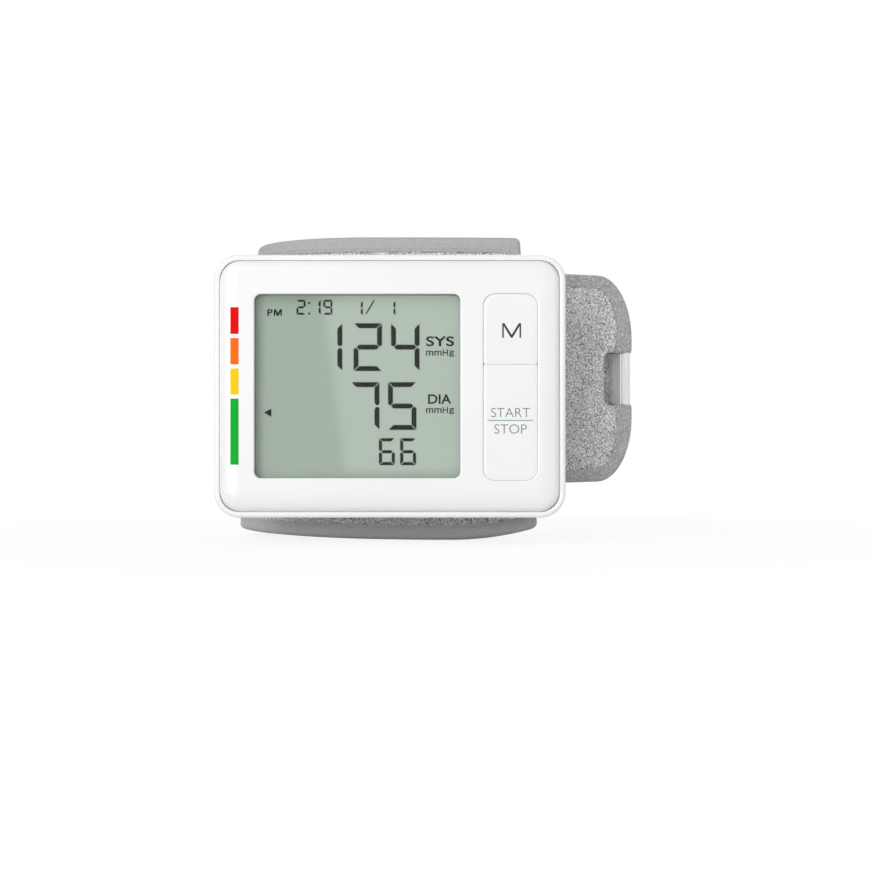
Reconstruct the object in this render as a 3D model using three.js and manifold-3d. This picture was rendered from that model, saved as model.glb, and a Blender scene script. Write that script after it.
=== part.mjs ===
// Wrist blood pressure monitor: a shallow two-shell case with a display, two keys and a battery
// door, carried on a padded wrist cuff that closes with a strap behind a folded end tab.
// Millimetres, +Z up. The case looks along -Y, and the part stands on the cuff's lower edge.

import * as THREE from 'three';
import { mergeVertices } from 'three/addons/utils/BufferGeometryUtils.js';
import Module from 'manifold-3d';

const wasm = await Module();
wasm.setup();

// Fits
const FIT_GAP = 0.3;
const SLIDE_GAP = 0.4;

// Case
const CASE_WIDTH = 88;
const CASE_HEIGHT = 65.8;
const CASE_DEPTH = 23;
const CASE_CORNER = 6.4;
const CASE_WALL = 1.5;
const CASE_FLOOR = 1.8;
const CASE_BACK_ROUND = 5;
const RIM_SETBACK = 1.4;
const MIN_CORNER = 0.3;

// Front panel, with a rolled edge that falls to the rim
const PANEL_THICKNESS = 2;
const PANEL_SKIRT_WALL = 1.6;
const PANEL_SKIRT_DEPTH = 4;
const PANEL_ROLL_WIDTH = 4.5;
const PANEL_ROLL_DEPTH = 1.6;

// Display
const WINDOW_WIDTH = 51.5;
const WINDOW_HEIGHT = 46;
const WINDOW_CORNER = 1.75;
const WINDOW_X = -8.1;
const LENS_LAP = 1.5;
const LENS_THICKNESS = 1;
const LCD_LAP = 0.5;
const LCD_THICKNESS = 1.6;
const LCD_FRAME_WALL = 1.7;
const LCD_SPACE = 3;
const CONNECTOR_LENGTH = 44;
const CONNECTOR_WIDTH = 2;

// Keys
const SLOT_WIDTH = 13.6;
const SLOT_HEIGHT = 46.7;
const SLOT_CORNER = 3.1;
const SLOT_X = 30.1;
const SLOT_Z = -0.3;
const KEY_SPLIT_Z = 5.46;
const KEY_SET_BACK = 0.25;
const KEY_EDGE_ROUND = 0.8;
const KEY_FLANGE = 0.9;
const KEY_FLANGE_THICKNESS = 0.8;
const KEY_STEM_RADIUS = 1.5;
const KEY_TRAVEL = 0.8;
const SWITCH_SIZE = 5;
const SWITCH_HEIGHT = 0.9;
const SWITCH_NUB_RADIUS = 1.2;
const SWITCH_NUB_HEIGHT = 0.7;

// Circuit board
const BOARD_THICKNESS = 1.2;
const BOARD_CORNER = 2;
const BOARD_EDGE_GAP = 0.5;

// Case screws
const SCREW_INSET_X = 6.5;
const SCREW_INSET_Z = 4.5;
const POST_RADIUS = 2.1;
const SCREW_RADIUS = 0.8;
const SCREW_HEAD_RADIUS = 1.7;
const SCREW_HEAD_HEIGHT = 1.5;
const SCREW_SINK = 5;
const POST_JOINT_DEPTH = 9;

// Batteries and their bay
const CELL_RADIUS = 5.25;
const CELL_LENGTH = 44.5;
const CELL_NUB_RADIUS = 1.9;
const CELL_NUB_HEIGHT = 0.8;
const CELL_GAP = 0.5;
const BAY_WALL = 1.2;
const CONTACT_THICKNESS = 0.5;
const CONTACT_REACH = 1.4;
const CONTACT_SPREAD = 3.6;
const DOOR_LEDGE = 0.8;
const DOOR_SIDE_DEPTH = 7;

// Air pump, its crank, the valve and the pressure sensor
const PUMP_Z = 14;
const MOTOR_RADIUS = 6;
const MOTOR_LENGTH = 20;
const MOTOR_X = 14;
const PUMP_LENGTH = 13.4;
const PUMP_HEIGHT = 16;
const CRANK_RADIUS = 4;
const CRANK_THICKNESS = 2.4;
const CRANK_SHAFT_RADIUS = 0.8;
const CRANK_SHAFT_LENGTH = 4.4;
const CRANK_THROW = 2;
const CRANK_PIN_LENGTH = 2;
const PUMP_RECESS_RADIUS = 3.5;
const PUMP_RECESS_DEPTH = 3;
const NOZZLE_RADIUS = 1.5;
const NOZZLE_LENGTH = 3;
const HOSE_RADIUS = 1.6;
const HOSE_EASE = 8;
const MANIFOLD = { x0: -6, x1: 2, z0: -12, z1: 2 };
const MANIFOLD_BOARD_GAP = 4.1;
const AIR_SET_IN = 4.5;
const INLET_Z = -1;
const VALVE_Z = -8;
const VALVE_X = 8;
const VALVE_SIZE = 10;
const VALVE_HEIGHT = 12;
const PLUNGER_RADIUS = 1.2;
const PLUNGER_TRAVEL = 1;
const PLUNGER_HEAD_RADIUS = 2.5;
const PLUNGER_HEAD_THICKNESS = 1;
const PLUNGER_DEPTH = 3.8;
const SENSOR_SIZE = 6;
const SENSOR_HEIGHT = 4.5;
const SENSOR_PORT_RADIUS = 1;
const SENSOR_Z = -18;
const BUZZER_RADIUS = 6;
const BUZZER_HEIGHT = 3.5;
const BUZZER_X = 25;
const BUZZER_Z = -18;
const RADIO_X = 26;
const RADIO_WIDTH = 12;
const RADIO_HEIGHT = 9;
const RADIO_THICKNESS = 2;

// Cuff loop, seen from above: two half rounds joined by short flats
const CUFF_WIDTH = 79;
const LOOP_RADIUS = 31;
const LOOP_FLAT = 12;
const SEAM_ANGLE = THREE.MathUtils.degToRad(20);
const WIDE_END_X = 32;
const FABRIC_THICKNESS = 2;
const FABRIC_CROWN = 0.8;
const HEM_WIDTH = 4;
const HEM_ROUND = 1;
const STAY_THICKNESS = 1.2;
const BLADDER_THICKNESS = 2.2;
const LINING_THICKNESS = 1.5;
const LINING_CROWN = 0.6;
const INNER_END_MARGIN = 4;
const BRACKET_WIDTH = 30;
const BRACKET_HEIGHT = 48;
const BRACKET_THICKNESS = 1.6;
const BRACKET_CORNER = 3;
const SPIGOT_RADIUS = 2.5;

// Folded end tab with its retaining bar
const TAB_REACH = 63.7;
const TAB_HEIGHT = 56;
const TAB_RISE = 2.8;
const TAB_BEND_RADIUS = 200;
const TAB_THICKNESS = 5.6;
const TAB_CORNER_X = 9.1;
const TAB_CORNER_Z = 17.3;
const NOTCH_HEIGHT = 13.8;
const NOTCH_DEPTH = 6.9;
const NOTCH_CORNER = 1.2;
const BAR_RADIUS = 1.5;
const BAR_LENGTH = 40;

// Closing strap
const STRAP_HEIGHT = 46;
const STRAP_THICKNESS = 2.5;
const STRAP_END_SHORT = 4.2;
const STRAP_LAP = 14;
const STRAP_EASE = 13;
const SEAM_CLEARANCE = 0.4;
const PATCH_HEIGHT = 40;
const PATCH_THICKNESS = 1;
const PATCH_MARGIN = 1.5;

// Smoothness
const CORNER_STEPS = 4;
const ROUND_STEPS = 4;
const ROD_SIDES = 16;
const HOSE_STEPS = 12;
const HOSE_SIDES = 4;
const LOOP_STEPS = 48;
const TAB_STEPS = 12;
const STRAP_STEPS = 24;
const CROWN_STEPS = 4;

// Finishes: colour, roughness, metalness
const WHITE_GLOSS = [0xf4f4f4, 0.25, 0];
const KEY_WHITE = [0xf2f2f2, 0.35, 0];
const CLEAR = [0xdfe6e2, 0.05, 0];
const LCD_GREEN = [0xa8b8ab, 0.2, 0];
const DARK_PLASTIC = [0x2a2a2c, 0.5, 0];
const BOARD_GREEN = [0x1f5b34, 0.45, 0];
const STEEL = [0xb9bcc0, 0.3, 1];
const CELL_JACKET = [0x3a3f45, 0.35, 0.4];
const SOFT_TUBE = [0xd9d9d6, 0.6, 0];
const HEATHER = [0xa2a2a2, 0.95, 0];
const LINING_GREY = [0x8c8c8e, 0.95, 0];
const HOOK_GREY = [0x6e6e70, 0.9, 0];
const BLADDER_GREY = [0x77797c, 0.7, 0];

// Depths through the case, front face at 0
const LENS_FRONT = PANEL_THICKNESS + FIT_GAP;
const LCD_FRONT = LENS_FRONT + LENS_THICKNESS + FIT_GAP;
const BOARD_FRONT = LCD_FRONT + LCD_SPACE;
const BOARD_BACK = BOARD_FRONT + BOARD_THICKNESS;
const FLOOR_FACE = CASE_DEPTH - CASE_FLOOR;
const CELL_Y = FLOOR_FACE - CELL_GAP - CELL_RADIUS;
const BAY_CEILING = CELL_Y - CELL_RADIUS - CELL_GAP;
const PUMP_Y = FLOOR_FACE - FIT_GAP - MOTOR_RADIUS;
const MANIFOLD_BACK = FLOOR_FACE - FIT_GAP;
const MANIFOLD_FRONT = BOARD_BACK + MANIFOLD_BOARD_GAP;
const AIR_Y = MANIFOLD_BACK - AIR_SET_IN;

// Places across the case, its centre at 0
const HALF_WIDTH = CASE_WIDTH / 2;
const HALF_HEIGHT = CASE_HEIGHT / 2;
const SCREW_X = HALF_WIDTH - SCREW_INSET_X;
const SCREW_Z = HALF_HEIGHT - SCREW_INSET_Z;
const BAY_LEFT = -HALF_WIDTH + CASE_WALL;
const CELL_X = [0, 1].map((i) => BAY_LEFT + CELL_GAP + CELL_RADIUS + i * (2 * CELL_RADIUS + CELL_GAP));
const BAY_RIGHT = CELL_X[1] + CELL_RADIUS + CELL_GAP;
const BAY_HALF_LENGTH = CELL_LENGTH / 2 + CONTACT_REACH + CONTACT_THICKNESS + 2 * FIT_GAP;
const MANIFOLD_X = (MANIFOLD.x0 + MANIFOLD.x1) / 2;

// Depth of each cuff layer inward from the outer face
const HALF_CUFF = CUFF_WIDTH / 2;
const STAY_OUT = FABRIC_THICKNESS + FIT_GAP;
const BLADDER_OUT = STAY_OUT + STAY_THICKNESS + FIT_GAP;
const LIP_IN = BLADDER_OUT + BLADDER_THICKNESS;
const LINING_OUT = LIP_IN + FIT_GAP;
const CUFF_THICKNESS = LINING_OUT + LINING_THICKNESS;
const CUFF_FRONT = CASE_DEPTH + FIT_GAP + BRACKET_THICKNESS + FIT_GAP + FABRIC_CROWN;
const LOOP_Y = CUFF_FRONT + LOOP_RADIUS;
const CUFF_BACK = LOOP_Y + LOOP_RADIUS + FABRIC_CROWN;

const monitor = new THREE.Group();

function add(name, geometry, [color, roughness, metalness]) {
  const mesh = new THREE.Mesh(geometry, new THREE.MeshStandardMaterial({ color, roughness, metalness }));
  mesh.name = name;
  monitor.add(mesh);
}

// Solids and booleans

function solidOf(geometry) {
  const bare = geometry.clone();
  bare.deleteAttribute('normal');
  bare.deleteAttribute('uv');
  const merged = mergeVertices(bare);
  const vertProperties = new Float32Array(merged.attributes.position.array);
  const triVerts = new Uint32Array(merged.index.array);
  return new wasm.Manifold(new wasm.Mesh({ numProp: 3, vertProperties, triVerts }));
}

function geometryOf(solid) {
  const { vertProperties, triVerts } = solid.getMesh();
  const geometry = new THREE.BufferGeometry();
  geometry.setAttribute('position', new THREE.BufferAttribute(vertProperties, 3));
  geometry.setIndex(new THREE.BufferAttribute(triVerts, 1));
  geometry.computeVertexNormals();
  return geometry;
}

function shape(base, { join = [], keep = [], cut = [] }) {
  let solid = solidOf(base);
  for (const more of join) solid = solid.add(solidOf(more));
  for (const limit of keep) solid = solid.intersect(solidOf(limit));
  for (const tool of cut) solid = solid.subtract(solidOf(tool));
  return geometryOf(solid);
}

// Basic forms

function box(x0, x1, y0, y1, z0, z1) {
  const geometry = new THREE.BoxGeometry(x1 - x0, y1 - y0, z1 - z0);
  return geometry.translate((x0 + x1) / 2, (y0 + y1) / 2, (z0 + z1) / 2);
}

function rod(radius, from, to) {
  const start = new THREE.Vector3(...from);
  const end = new THREE.Vector3(...to);
  const along = end.clone().sub(start);
  const geometry = new THREE.CylinderGeometry(radius, radius, along.length(), ROD_SIDES);
  const turn = new THREE.Quaternion().setFromUnitVectors(THREE.Object3D.DEFAULT_UP, along.normalize());
  const middle = start.add(end).multiplyScalar(0.5);
  return geometry.applyQuaternion(turn).translate(middle.x, middle.y, middle.z);
}

// Rods along one axis: the two ends, then the place on the other two axes
const rodX = (radius, x0, x1, y, z) => rod(radius, [x0, y, z], [x1, y, z]);
const rodY = (radius, y0, y1, x, z) => rod(radius, [x, y0, z], [x, y1, z]);
const rodZ = (radius, z0, z1, x, y) => rod(radius, [x, y, z0], [x, y, z1]);

// A closed skin over rings of equal point counts, with flat ends and its faces turned outwards
function loft(rings, section) {
  const outline = section.map(([u, v]) => new THREE.Vector2(u, v));
  if (THREE.ShapeUtils.isClockWise(outline)) {
    return loft(rings.map((ring) => ring.slice().reverse()), section.slice().reverse());
  }
  const count = section.length;
  const last = (rings.length - 1) * count;
  const positions = new Float32Array(rings.flat(2));
  const index = [];
  for (let ring = 0; ring < rings.length - 1; ring++) {
    for (let i = 0; i < count; i++) {
      const a = ring * count + i;
      const b = ring * count + ((i + 1) % count);
      index.push(a, b, a + count, b, b + count, a + count);
    }
  }
  for (const [a, b, c] of THREE.ShapeUtils.triangulateShape(outline, [])) {
    index.push(a, c, b, a + last, b + last, c + last);
  }
  const geometry = new THREE.BufferGeometry();
  geometry.setAttribute('position', new THREE.BufferAttribute(positions, 3));
  geometry.setIndex(volumeOf(positions, index) < 0 ? index.reverse() : index);
  return geometry;
}

function volumeOf(positions, index) {
  const corner = [0, 1, 2].map(() => new THREE.Vector3());
  let sixfold = 0;
  for (let i = 0; i < index.length; i += 3) {
    corner.forEach((point, k) => point.fromArray(positions, 3 * index[i + k]));
    sixfold += corner[0].dot(corner[1].clone().cross(corner[2]));
  }
  return sixfold / 6;
}

function roundedOutline(width, height, corner) {
  const points = [];
  const centres = [[1, 1], [-1, 1], [-1, -1], [1, -1]];
  centres.forEach(([sideX, sideZ], quarter) => {
    for (let step = 0; step <= CORNER_STEPS; step++) {
      const angle = (Math.PI / 2) * (quarter + step / CORNER_STEPS);
      const x = sideX * (width / 2 - corner) + corner * Math.cos(angle);
      const z = sideZ * (height / 2 - corner) + corner * Math.sin(angle);
      points.push([x, z]);
    }
  });
  return points;
}

// A rounded block whose outline shrinks with depth: each section is [depth, inset]
function roundedBlock(width, height, corner, sections, x = 0, z = 0) {
  const rings = sections.map(([depth, inset]) => {
    const radius = Math.max(corner - inset, MIN_CORNER);
    const outline = roundedOutline(width - 2 * inset, height - 2 * inset, radius);
    return outline.map(([px, pz]) => [x + px, depth, z + pz]);
  });
  return loft(rings, roundedOutline(width, height, corner));
}

// A quarter round of [depth, inset] sections that ends at the given depth
function backRound(depth, radius, inset) {
  return Array.from({ length: ROUND_STEPS + 1 }, (_, step) => {
    const angle = (Math.PI / 2) * (step / ROUND_STEPS);
    return [depth - radius + radius * Math.sin(angle), inset + radius * (1 - Math.cos(angle))];
  });
}

// A section of [offset inward, height] points carried along a plan curve
function sweep(curve, steps, section) {
  const rings = Array.from({ length: steps + 1 }, (_, step) => {
    const point = curve.getPointAt(step / steps);
    const tangent = curve.getTangentAt(step / steps);
    return section.map(([offset, z]) => [point.x + tangent.y * offset, point.y - tangent.x * offset, z]);
  });
  return loft(rings, section);
}

function strip(out, inside, low, high) {
  return [[out, low], [out, high], [inside, high], [inside, low]];
}

// Case shells

function caseOuter() {
  return roundedBlock(CASE_WIDTH, CASE_HEIGHT, CASE_CORNER, [
    [RIM_SETBACK, 0],
    ...backRound(CASE_DEPTH, CASE_BACK_ROUND, 0),
  ]);
}

function caseCavity(spare) {
  const inset = CASE_WALL + spare;
  return roundedBlock(CASE_WIDTH, CASE_HEIGHT, CASE_CORNER, [
    [0, inset],
    ...backRound(FLOOR_FACE - spare, CASE_BACK_ROUND - CASE_WALL, inset),
  ]);
}

const screwPlaces = [[1, 1], [-1, 1], [-1, -1], [1, -1]].map(([sx, sz]) => [sx * SCREW_X, sz * SCREW_Z]);
const doorRight = BAY_RIGHT + DOOR_LEDGE - FIT_GAP;
const doorHalfLength = BAY_HALF_LENGTH + DOOR_LEDGE - FIT_GAP;
const doorFront = CASE_DEPTH - DOOR_SIDE_DEPTH + FIT_GAP;
const spigotHole = SPIGOT_RADIUS + FIT_GAP;
const spigotZ = (MANIFOLD.z0 + MANIFOLD.z1) / 2;

function doorZone(spare) {
  const half = doorHalfLength + spare;
  return box(-CASE_WIDTH, doorRight + spare, doorFront - spare, CASE_DEPTH + 1, -half, half);
}

function addRearCase() {
  const shell = shape(caseOuter(), { cut: [caseCavity(0)] });
  const bayOuter = box(
    BAY_LEFT - CASE_WALL / 2, BAY_RIGHT + BAY_WALL,
    BAY_CEILING - BAY_WALL, FLOOR_FACE + CASE_FLOOR / 2,
    -BAY_HALF_LENGTH - BAY_WALL, BAY_HALF_LENGTH + BAY_WALL,
  );
  const bay = shape(bayOuter, { keep: [caseOuter()] });
  const bayHollow = box(
    BAY_LEFT, BAY_RIGHT, BAY_CEILING, CASE_DEPTH + 1, -BAY_HALF_LENGTH, BAY_HALF_LENGTH,
  );
  const doorway = shape(doorZone(FIT_GAP), { cut: [caseCavity(FIT_GAP)] });
  const posts = screwPlaces.map(([x, z]) =>
    rodY(POST_RADIUS, POST_JOINT_DEPTH + FIT_GAP, FLOOR_FACE + CASE_FLOOR / 2, x, z));
  const holes = screwPlaces.flatMap(([x, z]) => [
    rodY(SCREW_RADIUS + FIT_GAP, POST_JOINT_DEPTH, CASE_DEPTH, x, z),
    rodY(SCREW_HEAD_RADIUS + FIT_GAP, CASE_DEPTH - SCREW_SINK, CASE_DEPTH + 1, x, z),
  ]);
  const airHole = rodY(spigotHole, FLOOR_FACE - 1, CASE_DEPTH + 1, MANIFOLD_X, spigotZ);
  const roundedPosts = posts.map((post) => shape(post, { keep: [caseOuter()] }));
  const body = shape(shell, {
    join: [bay, ...roundedPosts],
    cut: [bayHollow, doorway, ...holes, airHole],
  });
  add('rear_case', body, WHITE_GLOSS);
}

function addBatteryDoor() {
  const shell = shape(caseOuter(), { cut: [caseCavity(0)], keep: [doorZone(0)] });
  add('battery_door', shell, WHITE_GLOSS);
}

function addFrontPanel() {
  const inset = CASE_WALL + FIT_GAP;
  const width = CASE_WIDTH - 2 * inset;
  const height = CASE_HEIGHT - 2 * inset;
  const corner = CASE_CORNER - CASE_WALL;
  const roll = Array.from({ length: ROUND_STEPS + 1 }, (_, step) => {
    const angle = (Math.PI / 2) * (step / ROUND_STEPS);
    return [PANEL_ROLL_DEPTH * (1 - Math.sin(angle)), PANEL_ROLL_WIDTH * (1 - Math.cos(angle))];
  }).reverse();
  const outer = roundedBlock(width, height, corner, [...roll, [PANEL_SKIRT_DEPTH, 0]]);
  const hollow = roundedBlock(width, height, corner, [
    [PANEL_THICKNESS, PANEL_SKIRT_WALL + PANEL_THICKNESS],
    [PANEL_THICKNESS + PANEL_ROLL_DEPTH, PANEL_SKIRT_WALL],
    [PANEL_SKIRT_DEPTH + 1, PANEL_SKIRT_WALL],
  ]);
  const through = [[-1, 0], [PANEL_THICKNESS + 1, 0]];
  const window = roundedBlock(WINDOW_WIDTH, WINDOW_HEIGHT, WINDOW_CORNER, through, WINDOW_X);
  const slot = roundedBlock(SLOT_WIDTH, SLOT_HEIGHT, SLOT_CORNER, through, SLOT_X, SLOT_Z);
  const posts = screwPlaces.map(([x, z]) =>
    rodY(POST_RADIUS, PANEL_ROLL_DEPTH, POST_JOINT_DEPTH, x, z));
  const holes = screwPlaces.map(([x, z]) =>
    rodY(SCREW_RADIUS + FIT_GAP, PANEL_SKIRT_DEPTH, POST_JOINT_DEPTH + 1, x, z));
  const tray = shape(outer, { cut: [hollow, window, slot] });
  add('front_panel', shape(tray, { join: posts, cut: holes }), WHITE_GLOSS);
}

function addCaseScrews() {
  const seat = CASE_DEPTH - SCREW_SINK + FIT_GAP;
  screwPlaces.forEach(([x, z], i) => {
    const head = rodY(SCREW_HEAD_RADIUS, seat, seat + SCREW_HEAD_HEIGHT, x, z);
    const shank = rodY(SCREW_RADIUS, PANEL_SKIRT_DEPTH + FIT_GAP, seat + SCREW_RADIUS, x, z);
    add(`case_screw_${i + 1}`, shape(head, { join: [shank] }), STEEL);
  });
}

// Display stack and circuit board

function addDisplay() {
  const lensWidth = WINDOW_WIDTH + 2 * LENS_LAP;
  const lensHeight = WINDOW_HEIGHT + 2 * LENS_LAP;
  const glassWidth = WINDOW_WIDTH + 2 * LCD_LAP;
  const glassHeight = WINDOW_HEIGHT + 2 * LCD_LAP;
  const holeWidth = glassWidth + 2 * FIT_GAP;
  const holeHeight = glassHeight + 2 * FIT_GAP;
  const frameBack = BOARD_FRONT - FIT_GAP;
  const flat = (front, back) => [[front, 0], [back, 0]];
  add('display_lens', roundedBlock(lensWidth, lensHeight, WINDOW_CORNER,
    flat(LENS_FRONT, LENS_FRONT + LENS_THICKNESS), WINDOW_X), CLEAR);
  add('lcd_glass', roundedBlock(glassWidth, glassHeight, WINDOW_CORNER,
    flat(LCD_FRONT, LCD_FRONT + LCD_THICKNESS), WINDOW_X), LCD_GREEN);
  const frame = roundedBlock(holeWidth + 2 * LCD_FRAME_WALL, holeHeight + 2 * LCD_FRAME_WALL,
    WINDOW_CORNER + LCD_FRAME_WALL, flat(LCD_FRONT, frameBack), WINDOW_X);
  const hole = roundedBlock(holeWidth, holeHeight, WINDOW_CORNER + FIT_GAP,
    flat(LCD_FRONT - 1, BOARD_FRONT), WINDOW_X);
  add('lcd_frame', shape(frame, { cut: [hole] }), DARK_PLASTIC);
  const connectorZ = -glassHeight / 2 + CONNECTOR_WIDTH;
  add('lcd_connector', box(
    WINDOW_X - CONNECTOR_LENGTH / 2, WINDOW_X + CONNECTOR_LENGTH / 2,
    LCD_FRONT + LCD_THICKNESS + FIT_GAP, frameBack,
    connectorZ - CONNECTOR_WIDTH / 2, connectorZ + CONNECTOR_WIDTH / 2,
  ), SOFT_TUBE);
  const boardWidth = 2 * (SCREW_X - POST_RADIUS - BOARD_EDGE_GAP);
  const boardHeight = CASE_HEIGHT - 2 * (CASE_WALL + FIT_GAP + PANEL_SKIRT_WALL + BOARD_EDGE_GAP);
  add('circuit_board', roundedBlock(boardWidth, boardHeight, BOARD_CORNER,
    flat(BOARD_FRONT, BOARD_BACK)), BOARD_GREEN);
}

// Keys and their switches

function addKeys() {
  const keyWidth = SLOT_WIDTH - 2 * SLIDE_GAP;
  const keyHeight = SLOT_HEIGHT - 2 * SLIDE_GAP;
  const keyCorner = SLOT_CORNER - SLIDE_GAP;
  const flangeFront = PANEL_THICKNESS + FIT_GAP;
  const flangeBack = flangeFront + KEY_FLANGE_THICKNESS;
  const switchBack = BOARD_FRONT - FIT_GAP;
  const nubFront = switchBack - SWITCH_HEIGHT - SWITCH_NUB_HEIGHT;
  const stemBack = nubFront - FIT_GAP - KEY_TRAVEL;
  const top = SLOT_Z + SLOT_HEIGHT / 2;
  const bottom = SLOT_Z - SLOT_HEIGHT / 2;
  const spans = {
    memory: [KEY_SPLIT_Z + SLIDE_GAP / 2, top + KEY_FLANGE],
    start_stop: [bottom - KEY_FLANGE, KEY_SPLIT_Z - SLIDE_GAP / 2],
  };
  for (const [name, [low, high]] of Object.entries(spans)) {
    const z = (low + high) / 2;
    const cap = roundedBlock(keyWidth, keyHeight, keyCorner, [
      [KEY_SET_BACK, KEY_EDGE_ROUND],
      [KEY_SET_BACK + KEY_EDGE_ROUND / 4, KEY_EDGE_ROUND / 3],
      [KEY_SET_BACK + KEY_EDGE_ROUND, 0],
      [flangeBack, 0],
    ], SLOT_X, SLOT_Z);
    const flange = roundedBlock(keyWidth + 2 * KEY_FLANGE, keyHeight + 2 * KEY_FLANGE, SLOT_CORNER, [
      [flangeFront, 0],
      [flangeBack, 0],
    ], SLOT_X, SLOT_Z);
    const half = box(SLOT_X - SLOT_WIDTH, SLOT_X + SLOT_WIDTH, 0, flangeBack + 1, low, high);
    const stem = rodY(KEY_STEM_RADIUS, flangeFront, stemBack, SLOT_X, z);
    const key = shape(cap, { join: [flange], keep: [half] });
    add(`${name}_key`, shape(key, { join: [stem] }), KEY_WHITE);
    const side = SWITCH_SIZE / 2;
    const switchFront = switchBack - SWITCH_HEIGHT;
    const base = box(SLOT_X - side, SLOT_X + side, switchFront, switchBack, z - side, z + side);
    const nub = rodY(SWITCH_NUB_RADIUS, nubFront, switchFront + SWITCH_HEIGHT / 2, SLOT_X, z);
    add(`${name}_switch`, shape(base, { join: [nub] }), DARK_PLASTIC);
  }
}

// Batteries and contacts

function addBatteries() {
  const half = CELL_LENGTH / 2;
  CELL_X.forEach((x, i) => {
    const way = i === 0 ? 1 : -1;
    const can = rodZ(CELL_RADIUS, -way * half, way * (half - CELL_NUB_HEIGHT), x, CELL_Y);
    const nub = rodZ(CELL_NUB_RADIUS, 0, way * half, x, CELL_Y);
    add(`battery_cell_${i + 1}`, shape(can, { join: [nub] }), CELL_JACKET);
  });
  const plate = BAY_HALF_LENGTH - FIT_GAP;
  for (const [name, way] of [['upper', 1], ['lower', -1]]) {
    const faces = [way * plate, way * (plate - CONTACT_THICKNESS)].sort((a, b) => a - b);
    const sheet = box(CELL_X[0] - CONTACT_SPREAD, CELL_X[1] + CONTACT_SPREAD,
      CELL_Y - CONTACT_SPREAD, CELL_Y + CONTACT_SPREAD, ...faces);
    const studs = CELL_X.map((x) =>
      rodZ(CELL_NUB_RADIUS, way * plate, way * (half + FIT_GAP), x, CELL_Y));
    add(`${name}_battery_contact`, shape(sheet, { join: studs }), STEEL);
  }
}

// Air system inside the case

function addPump() {
  const motorBack = MOTOR_X + MOTOR_LENGTH;
  const discBack = MOTOR_X - SLIDE_GAP;
  const discFront = discBack - CRANK_THICKNESS;
  const pumpBack = discFront - SLIDE_GAP;
  const pumpFront = pumpBack - PUMP_LENGTH;
  const onAxis = (radius, x0, x1, lift = 0) => rodX(radius, x0, x1, PUMP_Y, PUMP_Z + lift);
  const bore = onAxis(CRANK_SHAFT_RADIUS + FIT_GAP, MOTOR_X - 1, MOTOR_X + CRANK_SHAFT_LENGTH);
  add('pump_motor', shape(onAxis(MOTOR_RADIUS, MOTOR_X, motorBack), { cut: [bore] }), STEEL);
  const disc = onAxis(CRANK_RADIUS, discFront, discBack);
  const discMiddle = (discFront + discBack) / 2;
  const shaft = onAxis(CRANK_SHAFT_RADIUS, discMiddle, discBack + CRANK_SHAFT_LENGTH);
  const pin = onAxis(CRANK_SHAFT_RADIUS, discFront - CRANK_PIN_LENGTH, discMiddle, CRANK_THROW);
  add('pump_crank', shape(disc, { join: [shaft, pin] }), STEEL);
  const head = box(pumpFront, pumpBack, PUMP_Y - MOTOR_RADIUS, PUMP_Y + MOTOR_RADIUS,
    PUMP_Z - PUMP_HEIGHT / 2, PUMP_Z + PUMP_HEIGHT / 2);
  const nozzle = onAxis(NOZZLE_RADIUS, pumpFront - NOZZLE_LENGTH, pumpFront + 1);
  const recess = onAxis(PUMP_RECESS_RADIUS, pumpBack - PUMP_RECESS_DEPTH, pumpBack + 1);
  add('pump_head', shape(head, { join: [nozzle], cut: [recess] }), DARK_PLASTIC);
  return pumpFront - NOZZLE_LENGTH;
}

// A soft tube that leaves one nozzle to the left, turns back and meets the other square on
function hose(from, to) {
  const curve = new THREE.CubicBezierCurve3(
    new THREE.Vector3(...from),
    new THREE.Vector3(from[0] - HOSE_EASE, from[1], from[2]),
    new THREE.Vector3(to[0] - HOSE_EASE, to[1], to[2]),
    new THREE.Vector3(...to),
  );
  const section = new THREE.Shape().absarc(0, 0, HOSE_RADIUS, 0, 2 * Math.PI);
  return new THREE.ExtrudeGeometry(section, {
    extrudePath: curve, steps: HOSE_STEPS, curveSegments: HOSE_SIDES, bevelEnabled: false,
  });
}

function addManifold(pumpNozzle) {
  const spigotBack = CUFF_FRONT + BLADDER_OUT + BLADDER_THICKNESS / 2;
  const inletEnd = MANIFOLD.x0 - NOZZLE_LENGTH;
  const block = box(MANIFOLD.x0, MANIFOLD.x1, MANIFOLD_FRONT, MANIFOLD_BACK, MANIFOLD.z0, MANIFOLD.z1);
  const inlet = rodX(NOZZLE_RADIUS, inletEnd, MANIFOLD_X, AIR_Y, INLET_Z);
  const spigot = rodY(SPIGOT_RADIUS, AIR_Y, spigotBack, MANIFOLD_X, spigotZ);
  add('air_manifold', shape(block, { join: [inlet, spigot] }), DARK_PLASTIC);
  const from = [pumpNozzle - FIT_GAP, PUMP_Y, PUMP_Z];
  add('pump_hose', hose(from, [inletEnd - FIT_GAP, AIR_Y, INLET_Z]), SOFT_TUBE);
}

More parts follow.
